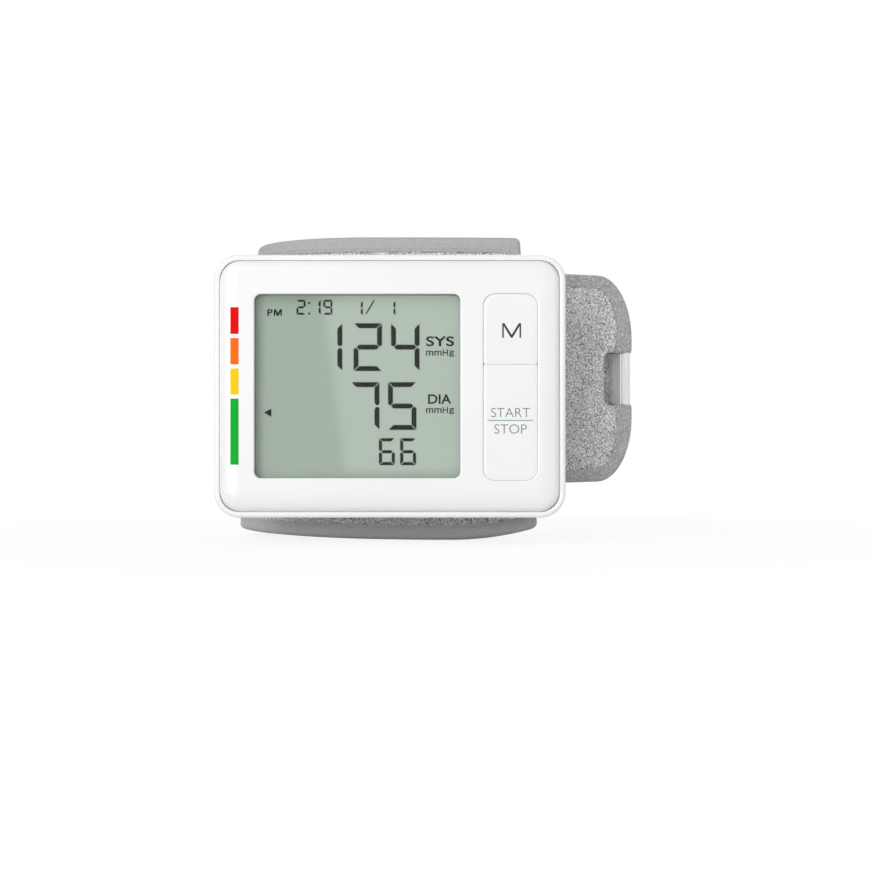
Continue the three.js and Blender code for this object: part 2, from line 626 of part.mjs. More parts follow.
function addValve() {
  const face = VALVE_X + VALVE_SIZE;
  const nozzleEnd = VALVE_X - NOZZLE_LENGTH;
  const onAxis = (radius, x0, x1) => rodX(radius, x0, x1, AIR_Y, VALVE_Z);
  const body = box(VALVE_X, face, MANIFOLD_BACK - VALVE_SIZE, MANIFOLD_BACK,
    VALVE_Z - VALVE_HEIGHT / 2, VALVE_Z + VALVE_HEIGHT / 2);
  const nozzle = onAxis(NOZZLE_RADIUS, nozzleEnd, VALVE_X + 1);
  const pinFront = face - PLUNGER_DEPTH;
  const bore = onAxis(PLUNGER_RADIUS + FIT_GAP, pinFront - PLUNGER_TRAVEL - FIT_GAP, face + 1);
  add('air_valve', shape(body, { join: [nozzle], cut: [bore] }), STEEL);
  const headFront = face + PLUNGER_TRAVEL + FIT_GAP;
  const headBack = headFront + PLUNGER_HEAD_THICKNESS;
  const pin = onAxis(PLUNGER_RADIUS, pinFront, (headFront + headBack) / 2);
  add('valve_plunger', shape(onAxis(PLUNGER_HEAD_RADIUS, headFront, headBack), { join: [pin] }), STEEL);
  add('valve_hose', onAxis(HOSE_RADIUS, MANIFOLD.x1 + FIT_GAP, nozzleEnd - FIT_GAP), SOFT_TUBE);
}

function addBoardPieces() {
  const front = BOARD_BACK + FIT_GAP;
  const side = SENSOR_SIZE / 2;
  const portY = MANIFOLD_FRONT + SENSOR_PORT_RADIUS;
  const sensor = box(MANIFOLD_X - side, MANIFOLD_X + side, front, front + SENSOR_HEIGHT,
    SENSOR_Z - side, SENSOR_Z + side);
  const port = rodZ(SENSOR_PORT_RADIUS, SENSOR_Z, MANIFOLD.z0 - FIT_GAP, MANIFOLD_X, portY);
  add('pressure_sensor', shape(sensor, { join: [port] }), DARK_PLASTIC);
  add('buzzer', rodY(BUZZER_RADIUS, front, front + BUZZER_HEIGHT, BUZZER_X, BUZZER_Z), DARK_PLASTIC);
  const can = box(RADIO_X - RADIO_WIDTH / 2, RADIO_X + RADIO_WIDTH / 2, front, front + RADIO_THICKNESS,
    -RADIO_HEIGHT / 2, RADIO_HEIGHT / 2);
  add('radio_module', can, STEEL);
}

// Cuff

const tabCentre = new THREE.Vector2(LOOP_FLAT / 2, CUFF_FRONT + TAB_BEND_RADIUS);

// Angle on the tab's bend, from straight ahead, at which a layer of that radius reaches x
function bendAngle(x, radius) {
  return Math.asin((x - tabCentre.x) / radius);
}

// The loop's outer face from the wide end behind the case, round the wrist, to the strap seam
function loopCurve(endTrim) {
  const start = bendAngle(WIDE_END_X - endTrim, TAB_BEND_RADIUS);
  const seam = SEAM_ANGLE + endTrim / LOOP_RADIUS;
  const path = new THREE.Path();
  path.absarc(tabCentre.x, tabCentre.y, TAB_BEND_RADIUS, start - Math.PI / 2, -Math.PI / 2, true);
  path.lineTo(-LOOP_FLAT / 2, CUFF_FRONT);
  path.absarc(-LOOP_FLAT / 2, LOOP_Y, LOOP_RADIUS, -Math.PI / 2, -1.5 * Math.PI, true);
  path.lineTo(LOOP_FLAT / 2, LOOP_Y + LOOP_RADIUS);
  path.absarc(LOOP_FLAT / 2, LOOP_Y, LOOP_RADIUS, Math.PI / 2, seam, true);
  return path;
}

// Inward is to the right of travel on the loop, so offsets are taken to that side
function layer(endTrim, section) {
  return sweep(loopCurve(endTrim), LOOP_STEPS, section);
}

function crownLine(half, face, height) {
  return Array.from({ length: CROWN_STEPS + 1 }, (_, step) => {
    const share = (2 * step) / CROWN_STEPS - 1;
    return [face + height * (1 - share * share), share * half];
  });
}

function addCuff() {
  const bracketBack = CASE_DEPTH + FIT_GAP + BRACKET_THICKNESS;
  const airHole = (back) => rodY(spigotHole, CASE_DEPTH, back, MANIFOLD_X, spigotZ);
  const bracket = roundedBlock(BRACKET_WIDTH, BRACKET_HEIGHT, BRACKET_CORNER,
    [[CASE_DEPTH + FIT_GAP, 0], [bracketBack, 0]]);
  add('cuff_bracket', shape(bracket, { cut: [airHole(bracketBack + 1)] }), DARK_PLASTIC);

  const hemInner = HALF_CUFF - HEM_WIDTH;
  const fabric = [
    [LIP_IN, -HALF_CUFF],
    [HEM_ROUND, -HALF_CUFF],
    [HEM_ROUND / 4, -HALF_CUFF + HEM_ROUND],
    ...crownLine(hemInner, 0, -FABRIC_CROWN),
    [HEM_ROUND / 4, HALF_CUFF - HEM_ROUND],
    [HEM_ROUND, HALF_CUFF],
    [LIP_IN, HALF_CUFF],
    [LIP_IN, hemInner],
    [FABRIC_THICKNESS, hemInner],
    [FABRIC_THICKNESS, -hemInner],
    [LIP_IN, -hemInner],
  ];
  const throughStay = CUFF_FRONT + BLADDER_OUT;
  add('cuff_fabric', shape(layer(0, fabric), { cut: [airHole(throughStay)] }), HEATHER);

  const innerHalf = hemInner - FIT_GAP;
  const stay = strip(STAY_OUT, STAY_OUT + STAY_THICKNESS, -innerHalf, innerHalf);
  add('cuff_stay', shape(layer(INNER_END_MARGIN, stay), { cut: [airHole(throughStay)] }), CLEAR);
  const bladder = strip(BLADDER_OUT, LIP_IN, -innerHalf, innerHalf);
  const spigotEnd = throughStay + BLADDER_THICKNESS / 2 + FIT_GAP;
  add('air_bladder', shape(layer(INNER_END_MARGIN, bladder), { cut: [airHole(spigotEnd)] }), BLADDER_GREY);

  const lining = [
    [LINING_OUT, HALF_CUFF],
    [LINING_OUT, -HALF_CUFF],
    ...crownLine(HALF_CUFF, CUFF_THICKNESS, LINING_CROWN),
  ];
  add('cuff_lining', layer(0, lining), LINING_GREY);
}

function addTab() {
  const middle = TAB_BEND_RADIUS - TAB_THICKNESS / 2;
  const foldX = TAB_REACH - TAB_THICKNESS / 2;
  const foldAngle = bendAngle(foldX, middle);
  const foldY = tabCentre.y - middle * Math.cos(foldAngle);
  const rootAngle = bendAngle(WIDE_END_X, TAB_BEND_RADIUS) + FIT_GAP / middle;
  const low = TAB_RISE - TAB_HEIGHT / 2;
  const high = TAB_RISE + TAB_HEIGHT / 2;
  const arc = new THREE.Path();
  arc.absarc(tabCentre.x, tabCentre.y, TAB_BEND_RADIUS,
    foldAngle - Math.PI / 2, rootAngle - Math.PI / 2, true);
  const leaf = sweep(arc, TAB_STEPS, strip(0, TAB_THICKNESS, low, high));
  const fold = rodZ(TAB_THICKNESS / 2, low, high, foldX, foldY);
  const straight = TAB_REACH - TAB_CORNER_X;
  const sideLength = TAB_HEIGHT / 2 - TAB_CORNER_Z;
  const outline = new THREE.Shape();
  outline.moveTo(0, low);
  outline.lineTo(straight, low);
  outline.absellipse(straight, TAB_RISE - sideLength, TAB_CORNER_X, TAB_CORNER_Z, -Math.PI / 2, 0, false);
  outline.absellipse(straight, TAB_RISE + sideLength, TAB_CORNER_X, TAB_CORNER_Z, 0, Math.PI / 2, false);
  outline.lineTo(0, high);
  const depth = CUFF_BACK;
  const face = new THREE.ExtrudeGeometry(outline, { depth, curveSegments: 10, bevelEnabled: false });
  face.rotateX(Math.PI / 2).translate(0, depth, 0);
  const notch = roundedBlock(2 * NOTCH_DEPTH, NOTCH_HEIGHT, NOTCH_CORNER,
    [[0, 0], [depth, 0]], TAB_REACH, TAB_RISE);
  const halfBar = BAR_LENGTH / 2;
  const sleeve = halfBar + FIT_GAP;
  const bore = rodZ(BAR_RADIUS + FIT_GAP, TAB_RISE - sleeve, TAB_RISE + sleeve, foldX, foldY);
  add('end_tab', shape(leaf, { join: [fold], keep: [face], cut: [notch, bore] }), HEATHER);
  const bar = rodZ(BAR_RADIUS, TAB_RISE - halfBar, TAB_RISE + halfBar, foldX, foldY);
  add('tab_bar', bar, WHITE_GLOSS);
}

function addStrap() {
  const patchOut = TAB_THICKNESS + FIT_GAP;
  const strapOut = patchOut + PATCH_THICKNESS + FIT_GAP;
  const radius = TAB_BEND_RADIUS - strapOut - STRAP_THICKNESS / 2;
  const half = STRAP_THICKNESS / 2;
  const endAngle = bendAngle(TAB_REACH - STRAP_END_SHORT, radius);
  const lapAngle = bendAngle(TAB_REACH - STRAP_END_SHORT - STRAP_LAP, radius);
  const onBend = (angle) => new THREE.Vector2(
    tabCentre.x + radius * Math.sin(angle), tabCentre.y - radius * Math.cos(angle));
  const seamRadius = LOOP_RADIUS - CUFF_THICKNESS / 2;
  const hingeAngle = SEAM_ANGLE - (half + SEAM_CLEARANCE) / seamRadius;
  const hinge = new THREE.Vector2(
    LOOP_FLAT / 2 + seamRadius * Math.cos(hingeAngle), LOOP_Y + seamRadius * Math.sin(hingeAngle));
  const leave = new THREE.Vector2(Math.sin(hingeAngle), -Math.cos(hingeAngle));
  const meet = onBend(lapAngle);
  const meetWay = new THREE.Vector2(Math.cos(lapAngle), Math.sin(lapAngle));
  const path = new THREE.CurvePath();
  path.add(new THREE.CubicBezierCurve(
    hinge,
    hinge.clone().addScaledVector(leave, STRAP_EASE),
    meet.clone().addScaledVector(meetWay, -STRAP_EASE),
    meet,
  ));
  path.add(new THREE.EllipseCurve(tabCentre.x, tabCentre.y, radius, radius,
    lapAngle - Math.PI / 2, endAngle - Math.PI / 2, false));
  const low = TAB_RISE - STRAP_HEIGHT / 2;
  const high = TAB_RISE + STRAP_HEIGHT / 2;
  const leaf = sweep(path, STRAP_STEPS, strip(-half, half, low, high));
  const bead = rodZ(half, low, high, hinge.x, hinge.y);
  add('closing_strap', shape(leaf, { join: [bead] }), HEATHER);
  const patchArc = new THREE.Path();
  const margin = PATCH_MARGIN / radius;
  patchArc.absarc(tabCentre.x, tabCentre.y, TAB_BEND_RADIUS - patchOut,
    endAngle - margin - Math.PI / 2, lapAngle - Math.PI / 2, true);
  add('hook_patch', sweep(patchArc, TAB_STEPS, strip(0, PATCH_THICKNESS,
    TAB_RISE - PATCH_HEIGHT / 2, TAB_RISE + PATCH_HEIGHT / 2)), HOOK_GREY);
}

addRearCase();
addBatteryDoor();
addFrontPanel();
addCaseScrews();
addDisplay();
addKeys();
addBatteries();
addManifold(addPump());
addValve();
addBoardPieces();
addCuff();
addTab();
addStrap();

// The origin is under the middle of the part's box, on the surface that it stands on
monitor.position.set((HALF_WIDTH - TAB_REACH) / 2, -CUFF_BACK / 2, HALF_CUFF);

export default monitor;
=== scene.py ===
"""Visible pieces of a wrist blood pressure monitor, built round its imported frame.

Sizes in the code are millimetres in the case frame: x to the right and z up from the middle of the case, and
y back from the front of its panel. Cloth is drawn flat first, as a run along the cuff, a depth towards the
wrist and a height, and then wrapped on its bend. Meshes are in the row frame, in metres.
"""

import math

import bmesh
import bpy
import numpy as np
from bpy.props import FloatProperty, FloatVectorProperty, PointerProperty
from mathutils import Euler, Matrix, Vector
from mathutils.geometry import delaunay_2d_cdt


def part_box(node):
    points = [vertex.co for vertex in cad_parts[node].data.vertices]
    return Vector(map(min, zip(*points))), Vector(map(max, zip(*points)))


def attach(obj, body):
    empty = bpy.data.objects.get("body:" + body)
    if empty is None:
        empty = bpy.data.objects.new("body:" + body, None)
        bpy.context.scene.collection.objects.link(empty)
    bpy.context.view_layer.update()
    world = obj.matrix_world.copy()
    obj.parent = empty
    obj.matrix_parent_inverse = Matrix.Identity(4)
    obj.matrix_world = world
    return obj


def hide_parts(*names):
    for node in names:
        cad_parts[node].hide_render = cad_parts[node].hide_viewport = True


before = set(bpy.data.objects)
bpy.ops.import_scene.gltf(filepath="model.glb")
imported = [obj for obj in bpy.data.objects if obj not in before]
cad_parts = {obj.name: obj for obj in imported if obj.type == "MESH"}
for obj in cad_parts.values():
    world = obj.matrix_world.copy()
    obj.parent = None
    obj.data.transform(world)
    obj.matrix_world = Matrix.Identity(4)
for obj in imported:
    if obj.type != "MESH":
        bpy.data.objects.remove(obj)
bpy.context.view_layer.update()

bl_info = {
    "name": "Wrist blood pressure monitor",
    "version": (1, 0, 0),
    "blender": (4, 5, 0),
    "location": "3D View > Sidebar > Wrist monitor",
    "description": "Makes the visible pieces of a wrist blood pressure monitor round its packed frame",
    "category": "Object",
}

MM = 0.001

# The case frame's origin in the row frame
CASE_LOW, CASE_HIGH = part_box("rear_case")
CASE_PLACE = np.array([
    (CASE_LOW.x + CASE_HIGH.x) / 2,
    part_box("front_panel")[0].y,
    (CASE_LOW.z + CASE_HIGH.z) / 2,
])

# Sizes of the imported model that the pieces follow
FIT_GAP = 0.3
CASE_WIDTH = 88.0
CASE_HEIGHT = 65.8
CASE_DEPTH = 23.0
CASE_CORNER = 6.4
CASE_WALL = 1.5
CASE_BACK_ROUND = 5.0
FLOOR_FACE = 21.2
RIM_FRONT = 1.4
PANEL_THICKNESS = 2.0
PANEL_SKIRT = 4.0
PANEL_SKIRT_WALL = 1.6
WINDOW = (51.5, 46.0, 1.75, -8.1, 0.0)
SLOT = (13.6, 46.7, 3.1, 30.1, -0.3)
KEY_SPLIT = 5.46
KEY_FRONT = 0.25
KEY_BACK = 3.1
FLANGE_FRONT = 2.3
FLANGE_REACH = 0.6
LCD_FRONT = 3.6
SCREW_X = 37.5
SCREW_Z = 28.4
SCREW_SEAT = 18.3
CELL_PLACES = (-36.75, -25.75)
CELL_DEPTH = 15.45
CELL_RADIUS = 5.25
CELL_LENGTH = 44.5
DOOR_RIGHT = -19.5
DOOR_HALF = 25.25
DOOR_FRONT = 16.3
BAY = (-42.5, -20.0, 9.7, 24.75)
BAY_WALL = 1.2
AIR_HOLE = (2.8, -2.0, -5.0)
CUFF_HALF = 39.5
CUFF_END_X = 32.0
LOOP_RADIUS = 31.0
LOOP_HALF_FLAT = 6.0
LOOP_Y = 57.0
LOOP_WIDEST = LOOP_RADIUS + LOOP_HALF_FLAT
LOWEST_X = 14.0
SEAM_ANGLE = 20.0
BEND_CENTRE = (6.0, 226.0)
BEND_RADIUS = 200.0
LINING_DEPTH = (6.3, 7.8)
TAB_REACH = 63.7
TAB_ROOT = 32.3
TAB_RISE = 2.8
TAB_HALF = 28.0
TAB_THICKNESS = 5.6
TAB_CORNER = (9.1, 17.3)
TAB_TAPER = 0.02
NOTCH_HALF = 6.9
NOTCH_ROOT = 56.8
BAR_PLACE = (60.9, 36.6)
BAR_RADIUS = 1.5
BAR_HALF = 20.0
STRAP_HINGE = (31.983, 64.702)
STRAP_LEAVE = (0.2842, -0.9588)
STRAP_RADIUS = 191.55
STRAP_LAP_X = 45.5
STRAP_END_X = 61.2
STRAP_EASE = 13.0
STRAP_HALF = 23.0
STRAP_THICKNESS = 2.5
PATCH_HALF = 20.0

# Limits of the meshes: the least corner that an inset leaves, and how near points are merged
LEAST_CORNER = 0.15
MERGE = 0.002
SLIVER = 0.0005

# Where the cuff's flare ends on the right, from front to back, and over what distance it fades
FLARE_END_Y = 60.0
FLARE_FADE = 20.0

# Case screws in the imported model's order: from the upper right, anticlockwise
SCREW_PLACES = ((SCREW_X, SCREW_Z), (-SCREW_X, SCREW_Z), (-SCREW_X, -SCREW_Z), (SCREW_X, -SCREW_Z))

# Rows of inset and depth round the mouth of the rear case, from outside it to its inner side
MOUTH = ((-0.6, -RIM_FRONT), (-0.35, 0.0), (-0.12, 0.12), (0.0, 0.35))

# How far a cutting tool runs past the surface that it cuts
CUT_PAST = 1.0


def linear(text):
    """An sRGB hex colour as linear red, green and blue: a straight line in its darks, and a power above."""
    value = np.array([int(text[i:i + 2], 16) for i in (0, 2, 4)]) / 255
    return tuple(np.where(value <= 0.04045, value / 12.92, ((value + 0.055) / 1.055) ** 2.4).tolist())


def hex_paint(text):
    """An sRGB hex colour for a shader's socket."""
    return (*linear(text), 1.0)


def length(name, description, size):
    """A length that a user may change, given in millimetres."""
    return FloatProperty(
        name=name, description=description, default=size * MM, min=0.0, precision=5, subtype="DISTANCE",
        unit="LENGTH",
    )


def colour(name, description, text):
    """A colour that a user may change, given as sRGB hex."""
    return FloatVectorProperty(
        name=name, description=description, default=linear(text), min=0.0, max=1.0, size=3, subtype="COLOR",
    )


class MonitorSizes(bpy.types.PropertyGroup):
    """Sizes of the finish that a user would change"""

    roll_width: length("Panel roll width", "Width of the soft fall at the panel's edge", 4.5)
    roll_depth: length("Panel roll depth", "Depth of the soft fall at the panel's edge", 1.6)
    lip_round: length("Opening round", "Width of the round on the lips of the window and the key slot", 0.55)
    lip_fall: length("Opening fall", "Depth of the round on the lips of the window and the key slot", 0.16)
    rim_round: length("Rim round", "Radius on the outer front edge of the rear case", 0.7)
    key_round: length("Key round", "Width of the round on the front edge of each key", 0.9)
    key_fall: length("Key fall", "Depth of the round on the front edge of each key", 0.22)
    key_gap: length("Key gap", "Gap round each key", 0.045)
    ink: length("Ink thickness", "Thickness of printed marks and display segments", 0.02)
    stroke: length("Digit stroke", "Width of a segment of the large digits", 1.25)
    hem: length("Cuff hem width", "Width of the binding round the cuff", 3.95)
    crown: length("Cuff crown", "Rise of the cuff's outer face at its middle", 0.8)
    flare: length("Cuff flare", "How far the lower edge stands out past the upper edge on each side", 5.0)
    end_rise: length("Cuff end rise", "How far the cuff's lower edge rises at its cut end", 2.6)
    left_rise: length("Cuff left rise", "How far the cuff's lower edge rises at its far left", 1.7)
    pucker: length("Pucker", "Height of the puckers beside the seams", 0.14)
    stitch_pitch: length("Stitch pitch", "Distance from one stitch to the next", 2.9)
    thread: length("Thread radius", "Radius of the sewing thread", 0.16)


class MonitorColours(bpy.types.PropertyGroup):
    """Colours of the finishes"""

    case: colour("Case", "White of the moulded case", "F3F3F3")
    key: colour("Keys", "White of the keys", "F2F2F2")
    lcd: colour("Display", "Grey-green of the display's rear film", "99AB9A")
    segment: colour("Segments", "Dark of the driven display segments", "0E1410")
    red: colour("Red bar", "Printed bar for the highest level", "E60000")
    orange: colour("Orange bar", "Printed bar for the high level", "FF6F0A")
    yellow: colour("Yellow bar", "Printed bar for the raised level", "F8CF0A")
    green: colour("Green bar", "Printed bar for the normal level", "0AAF30")
    memory_ink: colour("Memory letter", "Ink of the memory key's letter", "444444")
    start_ink: colour("Start and stop letters", "Ink of the words on the long key", "707070")
    line_ink: colour("Key line", "Ink of the line between the words", "86AEB8")
    loop_base: colour("Loop cloth", "Middle grey of the heather loop cloth", "D2D2D2")
    loop_dark: colour("Loop cloth dark", "Dark fibres of the heather loop cloth", "6A6A6A")
    loop_light: colour("Loop cloth light", "Light fibres of the heather loop cloth", "FFFFFF")
    hem: colour("Hem", "Grey of the binding tape", "BABABA")
    # Painted light: the strap's tape is the cuff's binding tape made paler, to stand in for light on its
    # shaded part in the tab's notch
    strap_hem_painted_light: colour("Strap hem", "Grey of the strap's binding tape", "CCCCCC")
    lining: colour("Lining", "Grey of the knit against the wrist", "7C7D80")
    hook: colour("Hook tape", "Grey of the hook tape", "5A5B5E")


def millimetres(name):
    """A size of the scene's settings."""
    return getattr(bpy.context.scene.monitor_sizes, name) / MM


def paint(name):
    """A colour of the scene's settings, for a shader's socket."""
    return (*getattr(bpy.context.scene.monitor_colours, name), 1.0)


# Shapes


def skin(grid):
    """Four-sided faces between neighbours of a grid of points. Its UV is the distance run along each way."""
    rows, columns = grid.shape[:2]
    corner = np.arange(rows * columns).reshape(rows, columns)
    faces = np.stack([corner[:-1, :-1], corner[:-1, 1:], corner[1:, 1:], corner[1:, :-1]], axis=-1)
    down = np.linalg.norm(np.diff(grid, axis=0), axis=-1).cumsum(axis=0)
    across = np.linalg.norm(np.diff(grid, axis=1), axis=-1).cumsum(axis=1)
    uv = np.stack([np.pad(down, ((1, 0), (0, 0))), np.pad(across, ((0, 0), (1, 0)))], axis=-1)
    return grid.reshape(-1, 3), faces.reshape(-1, 4), uv.reshape(-1, 2)


def copies(grids):
    """A stack of like grids as one part: the faces of the first, repeated for each."""
    _, faces, uv = skin(grids[0])
    shift = np.arange(len(grids))[:, None, None] * grids[0][..., 0].size
    return grids.reshape(-1, 3), (faces + shift).reshape(-1, 4), np.tile(uv, (len(grids), 1))


def fan(ring):
    """A cap: every point of the ring is joined to the ring's mean point."""
    return skin(np.stack([ring, np.broadcast_to(ring[:-1].mean(axis=0), ring.shape)]))


def tube(grid):
    """A skin over a stack of closed rings, with a cap on the first and the last."""
    return [skin(grid), fan(grid[0]), fan(grid[-1])]


def outline(width, height, corner, x=0.0, z=0.0, steps=14):
    """A rounded rectangle: a quarter circle of each corner's radius round each corner's centre, run
    anticlockwise from the right and closed on its first point."""
    angle = (np.arange(4)[:, None] + np.linspace(0, 1, steps + 1)) * math.pi / 2
    side = np.array([(1, 1), (-1, 1), (-1, -1), (1, -1)])
    radius = np.broadcast_to(np.asarray(corner, float), 4)[:, None]
    px = x + side[:, :1] * (width / 2 - radius) + radius * np.cos(angle)
    pz = z + side[:, 1:] * (height / 2 - radius) + radius * np.sin(angle)
    loop = np.stack([px, pz], axis=-1).reshape(-1, 2)
    return np.vstack([loop, loop[:1]])


def arc(centre, radii, start, end, count):
    """Points on an ellipse about the centre, from one angle to another in degrees."""
    angle = np.radians(np.linspace(start, end, count))
    radii = np.broadcast_to(np.asarray(radii, float), 2)
    return np.asarray(centre) + radii * np.column_stack([np.cos(angle), np.sin(angle)])


def run_along(line):
    """The distance along a line at each of its points."""
    return np.concatenate([[0.0], np.linalg.norm(np.diff(line, axis=0), axis=1).cumsum()])


def densified(line, step):
    """The line with even points added wherever two neighbours lie further apart than the step."""
    span = np.linalg.norm(np.diff(line, axis=0), axis=1)
    count = np.maximum(1, np.ceil(span / step)).astype(int)
    first = np.repeat(np.arange(len(span)), count)
    share = (np.arange(count.sum()) - np.repeat(np.cumsum(count) - count, count)) / count[first]
    points = line[first] + share[:, None] * (line[first + 1] - line[first])
    return np.vstack([points, line[-1:]])


def inward(loop):
    """The way to the left of an anticlockwise loop, square to the line between a point's neighbours."""
    ring = loop[:-1]
    along = np.roll(ring, -1, axis=0) - np.roll(ring, 1, axis=0)
    along /= np.linalg.norm(along, axis=1, keepdims=True)
    way = np.column_stack([-along[:, 1], along[:, 0]])
    return np.vstack([way, way[:1]])


def quarter(width, depth, steps=8):
    """Rows of inset and depth round a quarter ellipse, from the face at full inset to the side at none."""
    angle = np.linspace(math.pi / 2, 0, steps + 1)
    return np.column_stack([width * (1 - np.cos(angle)), depth * (1 - np.sin(angle))])


def block_rings(width, height, corner, x, z, rows, steps=14):
    """A grid of rounded rectangles, one for each row of inset and depth, drawn in by the inset."""
    rings = []
    for inset, y in rows:
        radius = np.maximum(corner - inset, LEAST_CORNER)
        loop = outline(width - 2 * inset, height - 2 * inset, radius, x, z, steps)
        rings.append(flat_ring(loop, y))
    return np.stack(rings)


def flat_ring(loop, y):
    """A loop of x and z set at one depth."""
    return np.column_stack([loop[:, 0], np.full(len(loop), y), loop[:, 1]])


def box(x0, x1, y0, y1, z0, z1):
    """A plain block between two corners, for cutting."""
    corners = np.array([(x0, z0), (x1, z0), (x1, z1), (x0, z1), (x0, z0)])
    return tube(np.stack([flat_ring(corners, y0), flat_ring(corners, y1)]))


def turned(profile, place, axis="y", sides=40):
    """A profile of distance and radius rows, turned about an axis through the place."""
    angle = np.linspace(0, 2 * math.pi, sides + 1)
    along = np.repeat(profile[:, :1], sides + 1, axis=1)
    first = place[0] + profile[:, 1:] * np.cos(angle)
    second = place[1] + profile[:, 1:] * np.sin(angle)
    order = (first, along, second) if axis == "y" else (first, second, along)
    return tube(np.stack(order, axis=-1))


def within(points, loops):
    """Even-odd rule: a point is inside where a line from it to the right crosses the loops an odd number
    of times."""
    start = np.vstack([loop[:-1] for loop in loops])
    end = np.vstack([loop[1:] for loop in loops])
    rise = end[:, 1] - start[:, 1]
    rise = np.where(rise == 0, 1.0, rise)
    crossed = (start[:, 1] > points[:, 1:]) != (end[:, 1] > points[:, 1:])
    reach = start[:, 0] + (points[:, 1:] - start[:, 1]) * (end[:, 0] - start[:, 0]) / rise
    return (crossed & (points[:, :1] < reach)).sum(axis=1) % 2 == 1


def net(loops, spacing=None):
    """Triangles by Delaunay's rule that fill the first loop and leave out the others, with a square lattice
    of points between them where a spacing is given."""
    rims = [loop[:-1] for loop in loops]
    points = np.vstack(rims)
    starts = np.cumsum([0] + [len(rim) for rim in rims])
    edges = np.vstack([
        start + np.column_stack([np.arange(len(rim)), (np.arange(len(rim)) + 1) % len(rim)])
        for start, rim in zip(starts, rims)
    ])
    if spacing:
        low, high = points.min(axis=0), points.max(axis=0)
        axes = [np.arange(low[k], high[k], spacing) for k in (0, 1)]
        lattice = np.stack(np.meshgrid(*axes), axis=-1).reshape(-1, 2)
        lattice = lattice[within(lattice, loops)]
        near = np.linalg.norm(lattice[:, None] - points[None], axis=-1).min(axis=1)
        points = np.vstack([points, lattice[near > spacing / 2]])
    made = delaunay_2d_cdt(list(map(Vector, points.tolist())), edges.tolist(), [], 0, 1e-6)
    places = np.array(list(map(tuple, made[0])))
    faces = np.array(made[2])
    return places, faces[within(places[faces].mean(axis=1), loops)]


def flat_fill(loops, y):
    """A flat face at one depth between the first loop and the others."""
    places, faces = net(loops)
    return np.column_stack([places[:, 0], np.full(len(places), y), places[:, 1]]), faces, places


def prism(loop, front, back):
    """A flat outline given thickness, where its mean point sees all of it."""
    return tube(np.stack([flat_ring(loop, front), flat_ring(loop, back)]))


def slab(loop, front, back):
    """A flat outline of any form given thickness."""
    sides = skin(np.stack([flat_ring(loop, front), flat_ring(loop, back)]))
    return [sides, flat_fill([loop], front), flat_fill([loop], back)]


# Cloth on its bend


def bend(line, side=1.0):
    """A plan line as the distance along it, its places, and the way square to it that depth is taken in."""
    distance = run_along(line)
    along = np.gradient(line, distance, axis=0)
    along /= np.linalg.norm(along, axis=1, keepdims=True)
    return distance, line, side * np.column_stack([along[:, 1], -along[:, 0]])


def wrapped(path, run, depth, z):
    """Flat places carried on to a bend: the place on its line at that run, plus the depth square to it. A
    bend may have a further change of its own."""
    distance, place, way, *change = path
    x = np.interp(run, distance, place[:, 0]) + depth * np.interp(run, distance, way[:, 0])
    y = np.interp(run, distance, place[:, 1]) + depth * np.interp(run, distance, way[:, 1])
    points = np.stack(np.broadcast_arrays(x, y, z), axis=-1)
    return change[0](points) if change else points


def flared(points):
    """The cuff's cone: x grows in proportion towards the lower edge, but not on the right at the back, where
    the strap swings. The lower edge rises by a parabola to each side of its lowest place."""
    x, y, z = np.moveaxis(points, -1, 0)
    share = (CUFF_HALF - z) / (2 * CUFF_HALF)
    front = np.clip((FLARE_END_Y - y) / FLARE_FADE, 0, 1)
    wider = 1 + millimetres("flare") / LOOP_WIDEST * share * np.where(x < 0, 1.0, front)
    to_right = np.clip((x - LOWEST_X) / (CUFF_END_X - LOWEST_X), 0, 1.1)
    to_left = np.clip((LOWEST_X - x) / (LOWEST_X + LOOP_WIDEST), 0, 1)
    rise = millimetres("end_rise") * front * to_right ** 2 + millimetres("left_rise") * to_left ** 2
    return np.stack([x * wider, y, z + rise * share ** 4], axis=-1)


def bend_angle(x, radius=BEND_RADIUS):
    """Angle from straight ahead, in radians, at which an arc about the bend's centre is x to the right."""
    return math.asin((x - BEND_CENTRE[0]) / radius)


def cuff_path():
    """The cuff's outer line from above: the tab's bend, the front flat, a half round, the back flat, and
    part of the other half round as far as the strap's seam. Its run is nought at the cut end, and less
    before it."""
    ahead = 4.0
    start = bend_angle(CUFF_END_X + ahead)
    cut = bend_angle(CUFF_END_X)
    line = np.vstack([
        arc(BEND_CENTRE, BEND_RADIUS, math.degrees(start) - 90, -90, 40),
        arc((-LOOP_HALF_FLAT, LOOP_Y), LOOP_RADIUS, -90, -270, 181),
        arc((LOOP_HALF_FLAT, LOOP_Y), LOOP_RADIUS, 90, SEAM_ANGLE, 71),
    ])
    distance, place, way = bend(densified(line, 0.7))
    return distance - BEND_RADIUS * (start - cut), place, way, flared


def tab_path():
    """The tab's outer line from above, an arc of its bend from behind the case to beyond its fold."""
    reach = 65.0
    ends = [math.degrees(bend_angle(x)) - 90 for x in (BEND_CENTRE[0], reach)]
    return bend(arc(BEND_CENTRE, BEND_RADIUS, *ends, 120), side=-1.0)


def tab_run(x):
    """Distance along the tab's bend at which its outer face is x to the right."""
    return BEND_RADIUS * np.arcsin((x - BEND_CENTRE[0]) / BEND_RADIUS)


